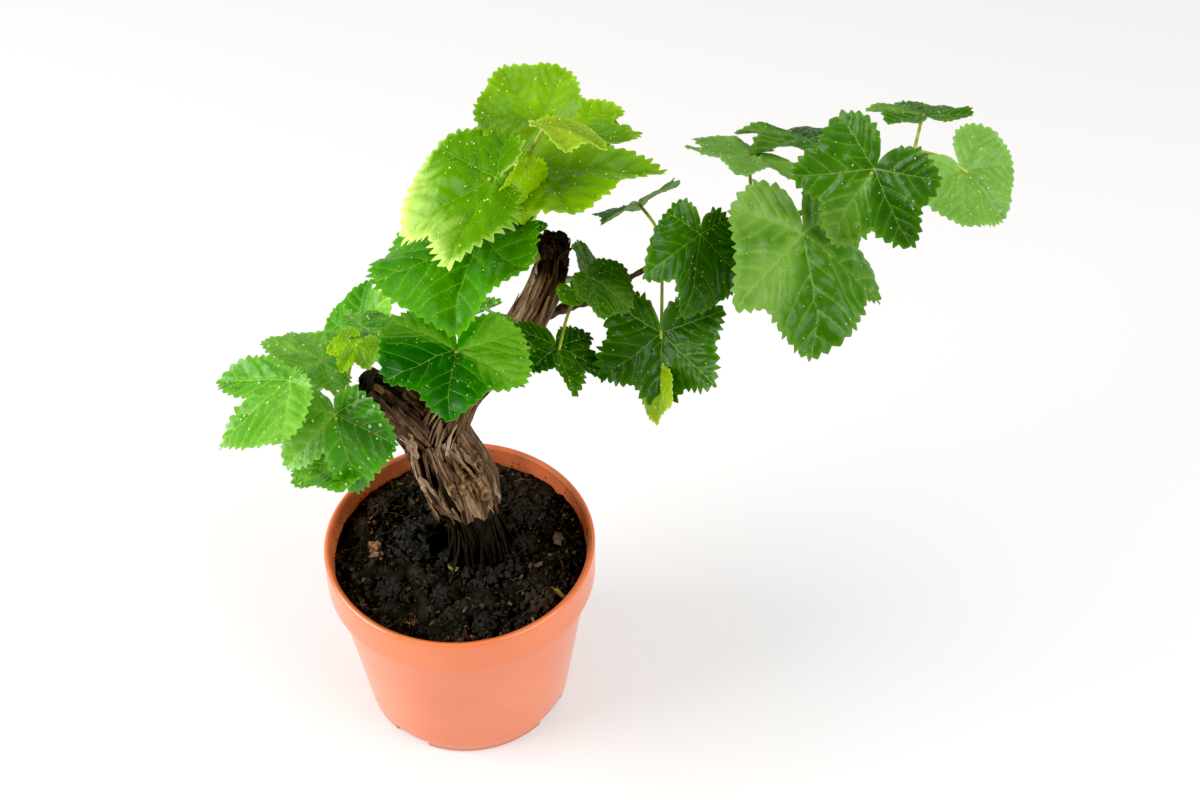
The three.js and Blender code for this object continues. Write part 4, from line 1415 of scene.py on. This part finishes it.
def add_limb(shape, limb, bark, details):
    """A limb with its bark, closed by a rough cut at its tip. Returns the smooth surface."""
    surface = LimbSurface(limb)
    rows, columns = bark.rows, bark.columns
    shares, turns = np.linspace(0, 1, rows), np.linspace(0, TURN, columns, endpoint=False)
    share, turn = (grid.ravel() for grid in np.meshgrid(shares, turns, indexing="ij"))
    lift, tone, warm = details(surface, share, turn, *layered_bark(surface, share, turn, bark))
    wall = surface.place(share, turn, lift)
    quads, charts = grid_faces(rows, columns, True)
    charts = charts * (1, LIMB_CHART)
    ochre = warm[quads].mean(axis=1) > OCHRE_OVER
    tip = wall[-columns:]
    centre = tip.mean(axis=0)
    rings, tones = [wall], [tone]
    for keep in CUT_RINGS:
        ring = centre + keep * (tip - centre)
        ring[:, 2] += patches(ring, CUT_RELIEF, bark.seed) - CUT_DEPTH * (1 - keep)
        rings.append(ring)
        tones.append(CUT_TONE + patches(ring, CUT_TONES, bark.seed))
    caps, _ = grid_faces(len(rings), columns, True)
    caps = caps + (rows - 1) * columns
    cap_charts = np.zeros((len(caps), 4, 2)) + (0.5, 1)
    shape.add(np.vstack(rings), [quads[~ochre], caps], tone=np.concatenate(tones),
              charts=[charts[~ochre], cap_charts], extra=(quads[ochre], 1, charts[ochre]))
    return surface


def add_peel(shape, surface, peel, rng):
    """A strip of bark that peels away from a limb: a thin curved blade fixed at one end."""
    rows, columns = PEEL_ROWS, PEEL_COLUMNS
    along = np.linspace(0, 1, rows)
    share = np.clip(peel.share + peel.way * peel.length / surface.length * along, PEEL_LOWEST, 1)
    sway = PEEL_SWAY * np.sin(PEEL_SWAYS * along + peel.turn)
    middle = math.radians(peel.turn) + rng.normal(0, PEEL_SWING) * along + sway
    radius = surface.read(surface.radii, share)
    ragged = 1 + PEEL_NICK * np.sin(PEEL_NICKS * along + peel.turn)
    half = peel.width / 2 * (PEEL_FULL - along ** PEEL_TAPER) ** PEEL_POINT * ragged / radius
    offset = np.linspace(-1, 1, columns)
    turns = middle[:, None] + half[:, None] * offset
    curl = rng.uniform(*PEEL_CURLS) * (half * radius)[:, None] * offset ** 2
    rise = PEEL_BASE + peel.lift * along[:, None] ** PEEL_LIFT_POWER + curl
    shares = np.repeat(share[:, None], columns, axis=1)
    top = surface.place(shares.ravel(), turns.ravel(), rise.ravel())
    bottom = surface.place(shares.ravel(), turns.ravel(), rise.ravel() - PEEL_THICKNESS)
    quads, _ = grid_faces(rows, columns, False)
    edge = border(rows, columns)
    after = np.roll(edge, -1)
    sides = np.stack([edge, after, after + rows * columns, edge + rows * columns], axis=1)
    tone = peel.tone + PEEL_EDGE_TONE * np.tile(np.abs(offset), rows)
    tone = tone + PEEL_TONE_SPREAD * rng.normal(size=rows * columns)
    # The underside takes the painted shade
    shape.add(np.vstack([top, bottom]), [quads, quads[:, ::-1] + rows * columns, sides[:, ::-1]],
              tone=np.concatenate([tone, tone - PEEL_UNDERSIDE_SHADE]))


def add_peels(shape, surface, peels, bark, rng):
    """The peeling strips that stand out, and others anywhere on a limb."""
    for peel in peels:
        add_peel(shape, surface, peel, rng)
    for _ in range(bark.loose):
        turn, way = math.degrees(rng.uniform(0, TURN)), int(rng.choice((-1, 1)))
        length, width = rng.uniform(*LOOSE_LENGTHS), rng.uniform(*LOOSE_WIDTHS)
        lift = LOOSE_LIFT * rng.uniform() ** 2
        share = rng.uniform(*bark.loose_shares)
        if way < 0:
            length = min(length, (share - bark.loose_shares[0]) * surface.length + PEEL_HANG)
        peel = Peel(share, turn, length, width, lift, way, rng.uniform(*bark.loose_tones))
        if not hides_hollow(surface, peel):
            add_peel(shape, surface, peel, rng)


def hides_hollow(surface, peel):
    """Whether a strip would lie over the trunk's hollow."""
    ends = np.array([peel.share, peel.share + peel.way * peel.length / surface.length])
    low, high = np.sort(surface.read(surface.points, ends)[:, 2])
    level = low < HOLLOW.height + HOLLOW.tall and high > HOLLOW.height - HOLLOW.tall
    return level and abs(peel.turn - HOLLOW.turn) < HOLLOW_CLEARANCE


def add_run(shape, run, rng):
    """Long strips over the fork, from the trunk into an arm."""
    surface = LimbSurface(run.limb)
    for _ in range(RUN_PEELS):
        way = int(rng.choice((-1, 1)))
        start = rng.uniform(*RUN_STARTS[way])
        length, width = rng.uniform(*RUN_LENGTHS), rng.uniform(*RUN_WIDTHS)
        lift = RUN_LIFT * rng.uniform() ** 2
        peel = Peel(start, rng.uniform(*run.turns), length, width, lift, way, rng.uniform(*run.tones))
        if not hides_hollow(surface, peel):
            add_peel(shape, surface, peel, rng)


def border(rows, columns):
    """The points round the edge of a grid, in order."""
    grid = np.arange(rows * columns).reshape(rows, columns)
    return np.concatenate([grid[0, :-1], grid[:-1, -1], grid[-1, :0:-1], grid[:0:-1, 0]])


def make_limbs():
    barks = [grainy_material(grain) for grain in BARK_GRAINS]
    rng = np.random.default_rng(PEEL_SEED)
    strips = Shape()
    for node, limb, bark, peels, details in (
        ("trunk", TRUNK, TRUNK_BARK, TRUNK_PEELS, trunk_details),
        ("left_arm", LEFT_ARM, LEFT_ARM_BARK, LEFT_ARM_PEELS, left_arm_details),
        ("right_arm", RIGHT_ARM, RIGHT_ARM_BARK, RIGHT_ARM_PEELS, right_arm_details),
    ):
        shape = Shape()
        surface = add_limb(shape, limb, bark, details)
        shape.build(f"{node}_bark", barks, [node], "bark")
        add_peels(strips, surface, peels, bark, rng)
    for run in RUNS:
        add_run(strips, run, rng)
    strips.build("peeling_bark", barks[:1])


def make_roots():
    """Dark strands that run from under the skirt of bark down into the soil."""
    rng = np.random.default_rng(ROOT_SEED)
    surface = LimbSurface(TRUNK)
    heights = surface.points[:, 2]
    shape = Shape()
    steps = np.linspace(0, 1, ROOT_STEPS)
    for number in range(ROOT_STRANDS):
        turn = rng.uniform(0, TURN)
        top = rng.uniform(*ROOT_TOPS)
        height = top + (SOIL_LEVEL - ROOT_DEPTH - top) * steps
        share = np.interp(height, heights, surface.shares)
        turns = turn + rng.normal(0, ROOT_WANDER) * steps
        flare = rng.uniform(*ROOT_FLARES[number % len(ROOT_FLARES)])
        lift = -NECK_INSET + ROOT_START + flare * steps ** ROOT_FLARE_POWER
        points = surface.place(share, turns, lift)
        radii = rng.uniform(*ROOT_RADII) * (1 - ROOT_TAPER * steps)
        slot = int(rng.choice(len(ROOT_SHARES), p=ROOT_SHARES))
        shape.add(*tube(points, radii, ROOT_SIDES), slot=slot)
    shape.build("root_strands", [plain_material(paint) for paint in ROOT_PAINTS])


def make_spur():
    """The thin woody spur that carries the cane."""
    points = curve_through(SPUR.path, SPUR_STEPS)
    share = np.linspace(0, 1, SPUR_STEPS)
    swelling = 1
    for depth, rate in SPUR_SWELLINGS:
        swelling = swelling + depth * np.sin(share * rate)
    radii = np.interp(share, np.linspace(0, 1, len(SPUR.radii)), SPUR.radii) * swelling
    shape = Shape()
    shape.add(*tube(points, radii, SPUR_SIDES))
    shape.build("woody_spur", [plain_material(SPUR_WOOD)], ["spur"], "cane_bark")


# Leaves
def leaf_frame(leaf):
    """Directions along the midrib, to the left and off the blade's upper side."""
    midrib = direction(leaf.face, -leaf.droop)
    level = direction(leaf.face + 90, 0)
    roll = math.radians(leaf.roll)
    left = level * math.cos(roll) + np.cross(midrib, level) * math.sin(roll)
    return np.stack([midrib, left, np.cross(midrib, left)])


def reach_at(stations, angles):
    """The plain margin's reach at these angles from the midrib."""
    return np.interp(angles, stations[:, 0], stations[:, 1])


def half_stations(kind, rng):
    """One half's outline as angles and reaches, a little different on every leaf."""
    outline = OUTLINES[kind]
    angles = (0, outline.bay_angle, *SIDE_ANGLES)
    knots = np.array([
        1, outline.upper_bay, outline.side_lobe, outline.lower_bay, outline.basal_lobe, outline.ear,
    ])
    knots[1:] *= 1 + STATION_SPREAD * rng.uniform(-1, 1, len(SIDE_ANGLES) + 1)
    share = np.linspace(0, 1, LOBE_STEPS, endpoint=False)
    rows = []
    for i in range(len(angles) - 1):
        falls = knots[i] > knots[i + 1]
        ease = share ** outline.bluntness if falls else 1 - (1 - share) ** outline.bluntness
        angle = angles[i] + (angles[i + 1] - angles[i]) * share
        rows.append(np.column_stack([angle, knots[i] + (knots[i + 1] - knots[i]) * ease]))
    foot_angle, foot_share = SINUS_FOOT
    rows.append([(angles[-1], knots[-1]), (foot_angle, foot_share * knots[-1]), *SINUS])
    return np.vstack(rows)


def half_margin(leaf, kind, stations, rng):
    """The toothed margin of one half, from the tip round to the stalk."""
    dense = np.linspace(0, OUTLINE_END, OUTLINE_STEPS)
    reach = reach_at(stations, dense)
    line = reach[:, None] * np.stack([np.cos(np.radians(dense)), np.sin(np.radians(dense))], axis=1)
    length = np.concatenate([[0], np.cumsum(np.linalg.norm(np.diff(line, axis=0), axis=1))])
    pitch = TOOTH_PITCH * math.sqrt(leaf.blade / LARGE_BLADE) / leaf.blade
    teeth = max(FEWEST_TEETH, round(length[-1] / pitch))
    widths = rng.uniform(*TOOTH_WIDTHS, teeth)
    starts = np.concatenate([[0], np.cumsum(widths)]) * length[-1] / widths.sum()
    share = np.linspace(0, 1, TOOTH_STEPS, endpoint=False)
    even = (starts[:-1, None] + np.diff(starts)[:, None] * share).ravel()
    even = np.append(even, length[-1])
    points = np.stack([np.interp(even, length, line[:, k]) for k in range(2)], axis=1)
    angle = np.interp(even, length, dense)
    run = np.stack([np.interp(even, length, np.gradient(line[:, k], length)) for k in range(2)], axis=1)
    outward = np.stack([run[:, 1], -run[:, 0]], axis=1)
    crest = np.where(share < TOOTH_CREST, share / TOOTH_CREST, (1 - share) / (1 - TOOTH_CREST))
    size = rng.uniform(*TOOTH_SIZES, teeth) * np.where(np.arange(teeth) % 2, SMALL_TOOTH, LARGE_TOOTH)
    tooth = np.append(size[:, None] * (crest ** TOOTH_ROUNDNESS - TOOTH_MIDDLE), 0)
    fade = 1 - smooth_step(angle, *TOOTHLESS)
    inner, before, after = stations[1:-1], stations[:-2], stations[2:]
    for bay in inner[(inner[:, 1] < before[:, 1]) & (inner[:, 1] < after[:, 1]), 0]:
        fade = fade * smooth_step(np.abs(angle - bay), 0, BAY_FADE)
    height = TOOTH_HEIGHT * OUTLINES[kind].teeth
    points = points + outward * (height * fade * tooth.ravel())[:, None]
    points[:, 1] = np.maximum(points[:, 1], SINUS_GAP)
    points[[0, -1], 1] = 0
    return points


def vein_lines(halves, rng):
    """Main veins to the lobes, and side veins that bow forward: (points, whether it is a main one)."""
    lines = []
    for angle in MAIN_VEINS:
        stations = halves[angle < 0]
        tip = MAIN_VEIN_REACH * reach_at(stations, np.array([abs(angle)]))[0]
        share = np.linspace(0, 1, MAIN_VEIN_STEPS)
        bow = math.radians(angle) + rng.normal(0, MAIN_VEIN_BOW) * np.sin(share * math.pi)
        main = (tip * share)[:, None] * np.stack([np.cos(bow), np.sin(bow)], axis=1)
        lines.append((main, True))
        for side, number in product((-1, 1), range(SIDE_VEINS)):
            start = number + SIDE_VEIN_START + SIDE_VEIN_STAGGER * side + rng.uniform(*SIDE_VEIN_SPREAD)
            start = start / (SIDE_VEINS + SIDE_VEIN_REST)
            place = np.array([np.interp(start, share, main[:, k]) for k in range(2)])
            line = side_vein(halves, angle, side, place)
            if len(line) > SHORTEST_VEIN:
                lines.append((line, False))
    return lines


def side_vein(halves, angle, side, place):
    """A side vein from a main one: it stops at the margin or half-way to the next main vein."""
    neighbours = [other for other in (*MAIN_VEINS, 180, -180) if (other - angle) * side > 0]
    outer = abs(angle) == max(MAIN_VEINS) and angle * side > 0
    limit = OUTER_LIMIT if outer else min(abs(other - angle) for other in neighbours) / 2
    heading = math.radians(angle + side * SIDE_VEIN_ANGLE)
    line = [place]
    for _ in range(SIDE_VEIN_STEPS):
        place = place + SIDE_VEIN_STEP * np.array([math.cos(heading), math.sin(heading)])
        heading -= side * SIDE_VEIN_BOW
        bearing = math.degrees(math.atan2(place[1], place[0]))
        turned = abs((bearing - angle + 180) % 360 - 180)
        reach = reach_at(halves[bearing < 0], np.array([min(abs(bearing), LAST_BEARING)]))[0]
        if turned > limit or np.linalg.norm(place) > SIDE_VEIN_REACH * reach:
            break
        line.append(place)
    return np.array(line)


def nearest(places, points):
    """Distance from each place to the nearest of these points, block by block to save memory."""
    near = np.full(len(places), np.inf)
    for block in np.array_split(points, NEAREST_BLOCKS):
        if len(block):
            near = np.minimum(near, np.linalg.norm(places[:, None] - block[None], axis=2).min(axis=1))
    return near


def inside(places, loop):
    """Which places lie inside a closed line."""
    x, y = places[:, 0, None], places[:, 1, None]
    (x0, y0), (x1, y1) = loop.T, np.roll(loop, -1, axis=0).T
    crosses = (y0 > y) != (y1 > y)
    rise = np.where(y1 == y0, 1, y1 - y0)
    return (crosses & (x < x0 + (y - y0) * (x1 - x0) / rise)).sum(axis=1) % 2 == 1


def thinned(points, spacing):
    """The points, without those that crowd an earlier one."""
    kept = points[:1]
    for point in points[1:]:
        if np.linalg.norm(kept - point, axis=1).min() > spacing:
            kept = np.vstack([kept, point])
    return kept


def even_mesh(margin, anchors, spacing):
    """Even triangles inside a margin, with points along the anchors. The margin's points come first."""
    (left, low), (right, high) = margin.min(axis=0), margin.max(axis=0)
    rows = np.arange(low, high, spacing * math.sqrt(0.75))
    x, y = np.meshgrid(np.arange(left, right, spacing), rows)
    x[1::2] += spacing / 2
    filler = np.column_stack([x.ravel(), y.ravel()])
    anchors = anchors[inside(anchors, margin)]
    anchors = thinned(anchors[nearest(anchors, margin) > spacing / 2], spacing / 2)
    filler = filler[inside(filler, margin)]
    filler = filler[nearest(filler, np.vstack([margin, anchors])) > FILLER_GAP * spacing]
    places = [Vector(place) for place in np.vstack([margin, anchors, filler])]
    loop = list(range(len(margin)))
    corners, _, triangles, *_ = delaunay_2d_cdt(places, [], [loop], MESH_INSIDE, MESH_EPSILON)
    return np.array([tuple(corner) for corner in corners]), np.array(triangles)


class Blade:
    """One leaf's blade: its margin, veins and surface."""

    def __init__(self, leaf, base, index, rng):
        self.leaf, self.base, self.axes = leaf, base, leaf_frame(leaf)
        self.phase = math.radians(WAVE_STEP * index)
        kinds = leaf.outline.split()
        self.halves = {False: half_stations(kinds[0], rng), True: half_stations(kinds[-1], rng)}
        left = half_margin(leaf, kinds[0], self.halves[False], rng)
        right = half_margin(leaf, kinds[-1], self.halves[True], rng) * (1, -1)
        self.margin = np.vstack([left, right[-2:0:-1]])
        self.veins = vein_lines(self.halves, rng)
        self.vein_points = np.vstack([line if main else line[1:] for line, main in self.veins])
        self.main_points = np.vstack([line for line, main in self.veins if main])
        self.bends = rng.normal(0, LOBE_BEND, len(MAIN_VEINS))
        tones = rng.normal(0, LOBE_TONE, len(MAIN_VEINS))
        self.tones = leaf.lobes or tones
        self.shift = rng.normal(0, TONE_SHIFT)
        self.seed = int(rng.integers(LEAF_SEEDS))
        spacing = (LEAF_SPACING + LEAF_SPACING_GROWTH * leaf.blade) / leaf.blade
        self.flat, self.triangles = even_mesh(self.margin, self.vein_points, spacing)

    def height(self, flat):
        """Height over the blade's plane: the solid's fold, droop and waves, and puffs between the veins."""
        along, across = flat[:, 0], flat[:, 1]
        angle = np.arctan2(across, along)
        spread = along * along + across * across
        wave = EDGE_WAVE * np.sin(EDGE_WAVES * angle + self.phase)
        height = MIDRIB_FOLD * np.abs(across) - (EDGE_DROOP - wave) * spread
        height = height + spread * self.by_lobe(flat, self.bends)
        puff = np.sin(np.clip(nearest(flat, self.vein_points) / PUFF_WIDTH, 0, 1) * math.pi / 2)
        fold = np.clip(nearest(flat, self.main_points) / MAIN_FOLD_WIDTH, 0, 1)
        height = height + PUFF_HEIGHT * puff + MAIN_FOLD_HEIGHT * fold
        height = height + RIPPLE_HEIGHT * spread * np.sin(RIPPLES * angle + 2 * self.phase)
        for number, (size, depth) in enumerate(PUCKERS):
            height = height + depth * noise(flat, size, self.seed + number)
        return height

    def by_lobe(self, flat, values):
        """A value for each main vein, spread over its lobe."""
        angle = np.arctan2(flat[:, 1], flat[:, 0])
        total = np.zeros(len(flat))
        for lobe, value in zip(MAIN_VEINS, values):
            total += value * np.exp(-(((angle - math.radians(lobe)) / LOBE_HALF_WIDTH) ** 2))
        return total

    def place(self, flat, height):
        """Points in the plant's own place from places on the blade and heights over it."""
        local = np.column_stack([flat, height])
        for hinge, bend in self.leaf.folds:
            local = folded(local, math.radians(hinge), math.radians(bend))
        local[:, 0] -= STALK_FROM_SINUS
        return self.base + self.leaf.blade * local @ self.axes


def folded(local, hinge, bend):
    """The blade bent down beyond a line from the stalk, on the hinge's own side of the midrib."""
    side = math.copysign(1, hinge)
    along = np.array([math.cos(hinge), math.sin(hinge), 0])
    away = side * np.array([-math.sin(hinge), math.cos(hinge), 0])
    up = np.array([0, 0, 1])
    beyond = np.where(local[:, 1] * side > 0, local @ away, 0)
    beyond = np.maximum(beyond, 0)
    turned = bend * np.minimum(beyond / FOLD_WIDTH, 1)
    radius = FOLD_WIDTH / bend
    straight = np.maximum(beyond - FOLD_WIDTH, 0)
    out = radius * np.sin(turned) + straight * math.cos(bend)
    down = radius * (1 - np.cos(turned)) + straight * math.sin(bend)
    moved = np.outer(local @ along, along) + np.outer(out, away) - np.outer(down, up)
    moved += local[:, 2:] * (np.outer(np.sin(turned), away) + np.outer(np.cos(turned), up))
    return np.where(beyond[:, None] > 0, moved, local)


def add_blade(shape, blade, slot, under_slot, tile, tiles):
    """Both sides of a blade and its edge, with their places on the map: the two tiles of this leaf."""
    flat, triangles, leaf = blade.flat, blade.triangles, blade.leaf
    height = blade.height(flat)
    thin = LEAF_THICKNESS / leaf.blade
    top, bottom = blade.place(flat, height), blade.place(flat, height - thin)
    edge = 1 - np.clip(nearest(flat, blade.margin) / MARGIN_WIDTH, 0, 1)
    veined = np.exp(-nearest(flat, blade.vein_points) / VEIN_HALO)
    tone = TONE_MIDDLE + blade.shift + LEAF_LOOKS[leaf.look].halo * veined + MARGIN_TONE * edge
    for seed, (size, depth) in enumerate(MOTTLES, blade.seed + MOTTLE_SEED):
        tone = tone + depth * noise(flat, size, seed)
    # A leaf's painted sheen pales the blade towards its tip
    tone = tone + blade.by_lobe(flat, blade.tones) + leaf.glow * smooth_step(flat[:, 0], PAINTED_SHEEN_START, 1)
    upper, lower = tile_place(flat, tile, tiles), tile_place(flat, tile + 1, tiles)
    under = triangles[:, ::-1]
    shape.add(top, [triangles], slot, tone, [upper[triangles]])
    shape.add(bottom, [under], under_slot, charts=[lower[under]])
    rim = np.arange(len(blade.margin))
    after = np.roll(rim, -1)
    sides = np.stack([rim, rim + len(rim), after + len(rim), after], axis=1)
    outer = tile_place(blade.margin * RIM_CHART, tile, tiles)
    shape.add(np.vstack([top[rim], bottom[rim]]), [sides], slot, TONE_MIDDLE + RIM_TONE,
              [np.vstack([upper[rim], outer])[sides]])


def tile_place(flat, tile, tiles):
    """Where a leaf's places lie on the bake's map, one tile for each side of each leaf."""
    wide = math.ceil(math.sqrt(tiles))
    corner = np.array([tile % wide, tile // wide])
    return (corner + 0.5 + (flat - TILE_CENTRE) * TILE_SHARE) / wide


def add_ridge(shape, blade, line, width, rise, slot):
    """A low ridge along a line on the blade's upper side."""
    run = unit(np.gradient(line, axis=0))
    side = np.stack([-run[:, 1], run[:, 0]], axis=1)
    half = (width / 2 * np.linspace(1, VEIN_TAPER, len(line)))[:, None] * side
    flat = np.stack([line + half, line, line - half], axis=1).reshape(-1, 2)
    lift = np.tile([-VEIN_SINK, rise, -VEIN_SINK], len(line)) / blade.leaf.blade
    height = np.repeat(blade.height(line), 3) + lift
    quads, _ = grid_faces(len(line), 3, False)
    shape.add(blade.place(flat, height), [quads[:, ::-1]], slot)


def add_veins(shape, blade, slot):
    for line, main in blade.veins:
        width, rise = MAIN_VEIN if main else SIDE_VEIN
        add_ridge(shape, blade, line, width, rise, slot)


def add_marks(shape, blade, slot, marks):
    """Short brown marks scattered over part of a blade."""
    rng = np.random.default_rng(MARK_SEED)
    for _ in range(marks.count):
        angle, reach = math.radians(rng.uniform(*marks.angles)), rng.uniform(*marks.reaches)
        way, length = math.radians(rng.normal(marks.way, MARK_WAY_SPREAD)), rng.uniform(*MARK_LENGTHS)
        start = reach * np.array([math.cos(angle), math.sin(angle)])
        line = start + np.outer(np.linspace(0, length, MARK_STEPS), (math.cos(way), math.sin(way)))
        add_ridge(shape, blade, line, rng.uniform(*MARK_WIDTHS), MARK_RISE, slot)


def add_drops(shape, blade, slot, rng):
    """Water drops scattered over a blade."""
    points, faces = ball(*ROUND_FORM)
    count, rim = len(blade.flat), len(blade.margin)
    flat = blade.flat[rng.choice(rim + np.arange(count - rim), int(DROP_SHARE * count), False)]
    largest = LEAF_LOOKS[blade.leaf.look].drop
    radii = SMALLEST_DROP + (largest - SMALLEST_DROP) * rng.uniform(size=len(flat)) ** DROP_RARITY
    for centre, radius in zip(blade.place(flat, blade.height(flat)), radii):
        shape.add(centre + points * radius, faces, slot)


def add_stem(shape, name, shoot):
    """A shoot's stem, swollen where its leaves leave it."""
    points = curve_through(shoot.path, STEM_STEPS)
    share = np.linspace(0, 1, STEM_STEPS)
    radii = np.interp(share, (0, 1), shoot.radii)
    for leaf in shoot.leaves:
        radii = radii * (1 + NODE_SWELLING * np.exp(-(((share - leaf.at) * NODE_SHARPNESS) ** 2)))
    shape.add(*tube(points, radii, STEM_SIDES), slot=RIPE_CANE if name == RIPE_SHOOT else YOUNG_CANE)


def stalk_line(root, leaf):
    """Where a leaf's blade starts, and its stalk's arched line."""
    course = direction(leaf.turn, leaf.rise)
    base = root + course * leaf.stalk
    bend = root + course * leaf.stalk / 2 + np.array([0, 0, STALK_ARCH * leaf.stalk])
    return base, curve_through([root, bend, base + course * STALK_SINK], STALK_STEPS)


def make_foliage():
    names = list(LEAF_LOOKS)
    leaf_paints, vein_paints, drop_paints = [], [], []
    for name, look in LEAF_LOOKS.items():
        # Each drop's colour is the look's pale colour lightened towards white as a painted highlight
        glinting = mixed(look.high, DROP_GLINT_COLOUR, DROP_GLINT_SHARE)
        leaf_paints.append(leaf_material(name, look))
        vein_paints.append(plain_material(Paint(f"vein_{name}", look.vein, *VEIN_FINISH)))
        drop_paints.append(plain_material(Paint(f"drop_{name}", glinting, *DROP_FINISH)))
    leaf_paints.append(plain_material(UNDERSIDE))
    vein_paints.append(plain_material(BROWN_MARK))
    rng = np.random.default_rng(FOLIAGE_SEED)
    veins, shoots, drops = Shape(), Shape(), Shape()
    for name, shoot in SHOOTS.items():
        line = curve_through(shoot.path, SHOOT_STEPS)
        leaves = Shape()
        add_stem(shoots, name, shoot)
        for index, leaf in enumerate(shoot.leaves):
            base, stalk = stalk_line(line[round(leaf.at * (SHOOT_STEPS - 1))], leaf)
            radii = np.interp(np.linspace(0, 1, STALK_STEPS), STALK_STATIONS, STALK_RADII)
            radii = radii * min(1, STALK_LEAST + leaf.blade / STALK_FULL_BLADE)
            shoots.add(*tube(stalk, radii, STALK_SIDES), slot=LEAF_STALK)
            blade = Blade(leaf, base, index, rng)
            slot = names.index(leaf.look)
            add_blade(leaves, blade, slot, len(names), 2 * index, 2 * len(shoot.leaves))
            add_veins(veins, blade, slot)
            if name in MARKS and MARKS[name].leaf == index:
                add_marks(veins, blade, len(names), MARKS[name])
            add_drops(drops, blade, slot, rng)
        leaves.build(name.replace("foliage", "leaves"), leaf_paints, [name], SLOTS[name])
    veins.build("leaf_veins", vein_paints)
    shoots.build("shoots_and_stalks", [plain_material(paint) for paint in SHOOT_PAINTS])
    drops.build("water_drops", drop_paints)


# Stage, light and camera
def make_stage():
    mesh = bpy.data.meshes.new("floor")
    corners = [(x * FLOOR_HALF, y * FLOOR_HALF, 0) for x, y in ((-1, -1), (1, -1), (1, 1), (-1, 1))]
    mesh.from_pydata(corners, [], [(0, 1, 2, 3)])
    floor = bpy.data.objects.new("floor", mesh)
    floor.location.z = -FLOOR_DROP
    bpy.context.scene.collection.objects.link(floor)
    mesh.materials.append(plain_material(FLOOR_WHITE, emission_strength=FLOOR_GLOW))


def add_lamp(lamp):
    data = bpy.data.lights.new(lamp.name, "AREA")
    data.size, data.energy, data.color = lamp.size, lamp.power, lamp.colour
    light = bpy.data.objects.new(lamp.name, data)
    light.location = lamp.place
    aim = Vector(LAMP_TARGET) - Vector(lamp.place)
    light.rotation_euler = aim.to_track_quat("-Z", "Y").to_euler()
    bpy.context.scene.collection.objects.link(light)


def make_light():
    world = bpy.data.worlds.new("studio")
    world.use_nodes = True
    background = world.node_tree.nodes["Background"]
    background.inputs["Color"].default_value = (1, 1, 1, 1)
    background.inputs["Strength"].default_value = WORLD_LIGHT
    bpy.context.scene.world = world
    for lamp in LAMPS:
        add_lamp(lamp)
    view = bpy.context.scene.view_settings
    view.view_transform = "Standard"
    view.look = "None"
    view.exposure = EXPOSURE
    view.use_curve_mapping = True
    view.curve_mapping.black_level = BLACK_LEVEL


def make_camera():
    data = bpy.data.cameras.new("camera")
    data.lens, data.sensor_width = LENS, SENSOR
    camera = bpy.data.objects.new("camera", data)
    camera.location = Vector(CAMERA_PLACE) * MM
    camera.rotation_euler = (math.radians(CAMERA_PITCH), 0, 0)
    bpy.context.scene.collection.objects.link(camera)
    bpy.context.scene.camera = camera


make_pot()
make_soil()
make_crumbs()
make_fibres()
make_limbs()
make_roots()
make_spur()
make_foliage()
make_stage()
make_light()
make_camera()
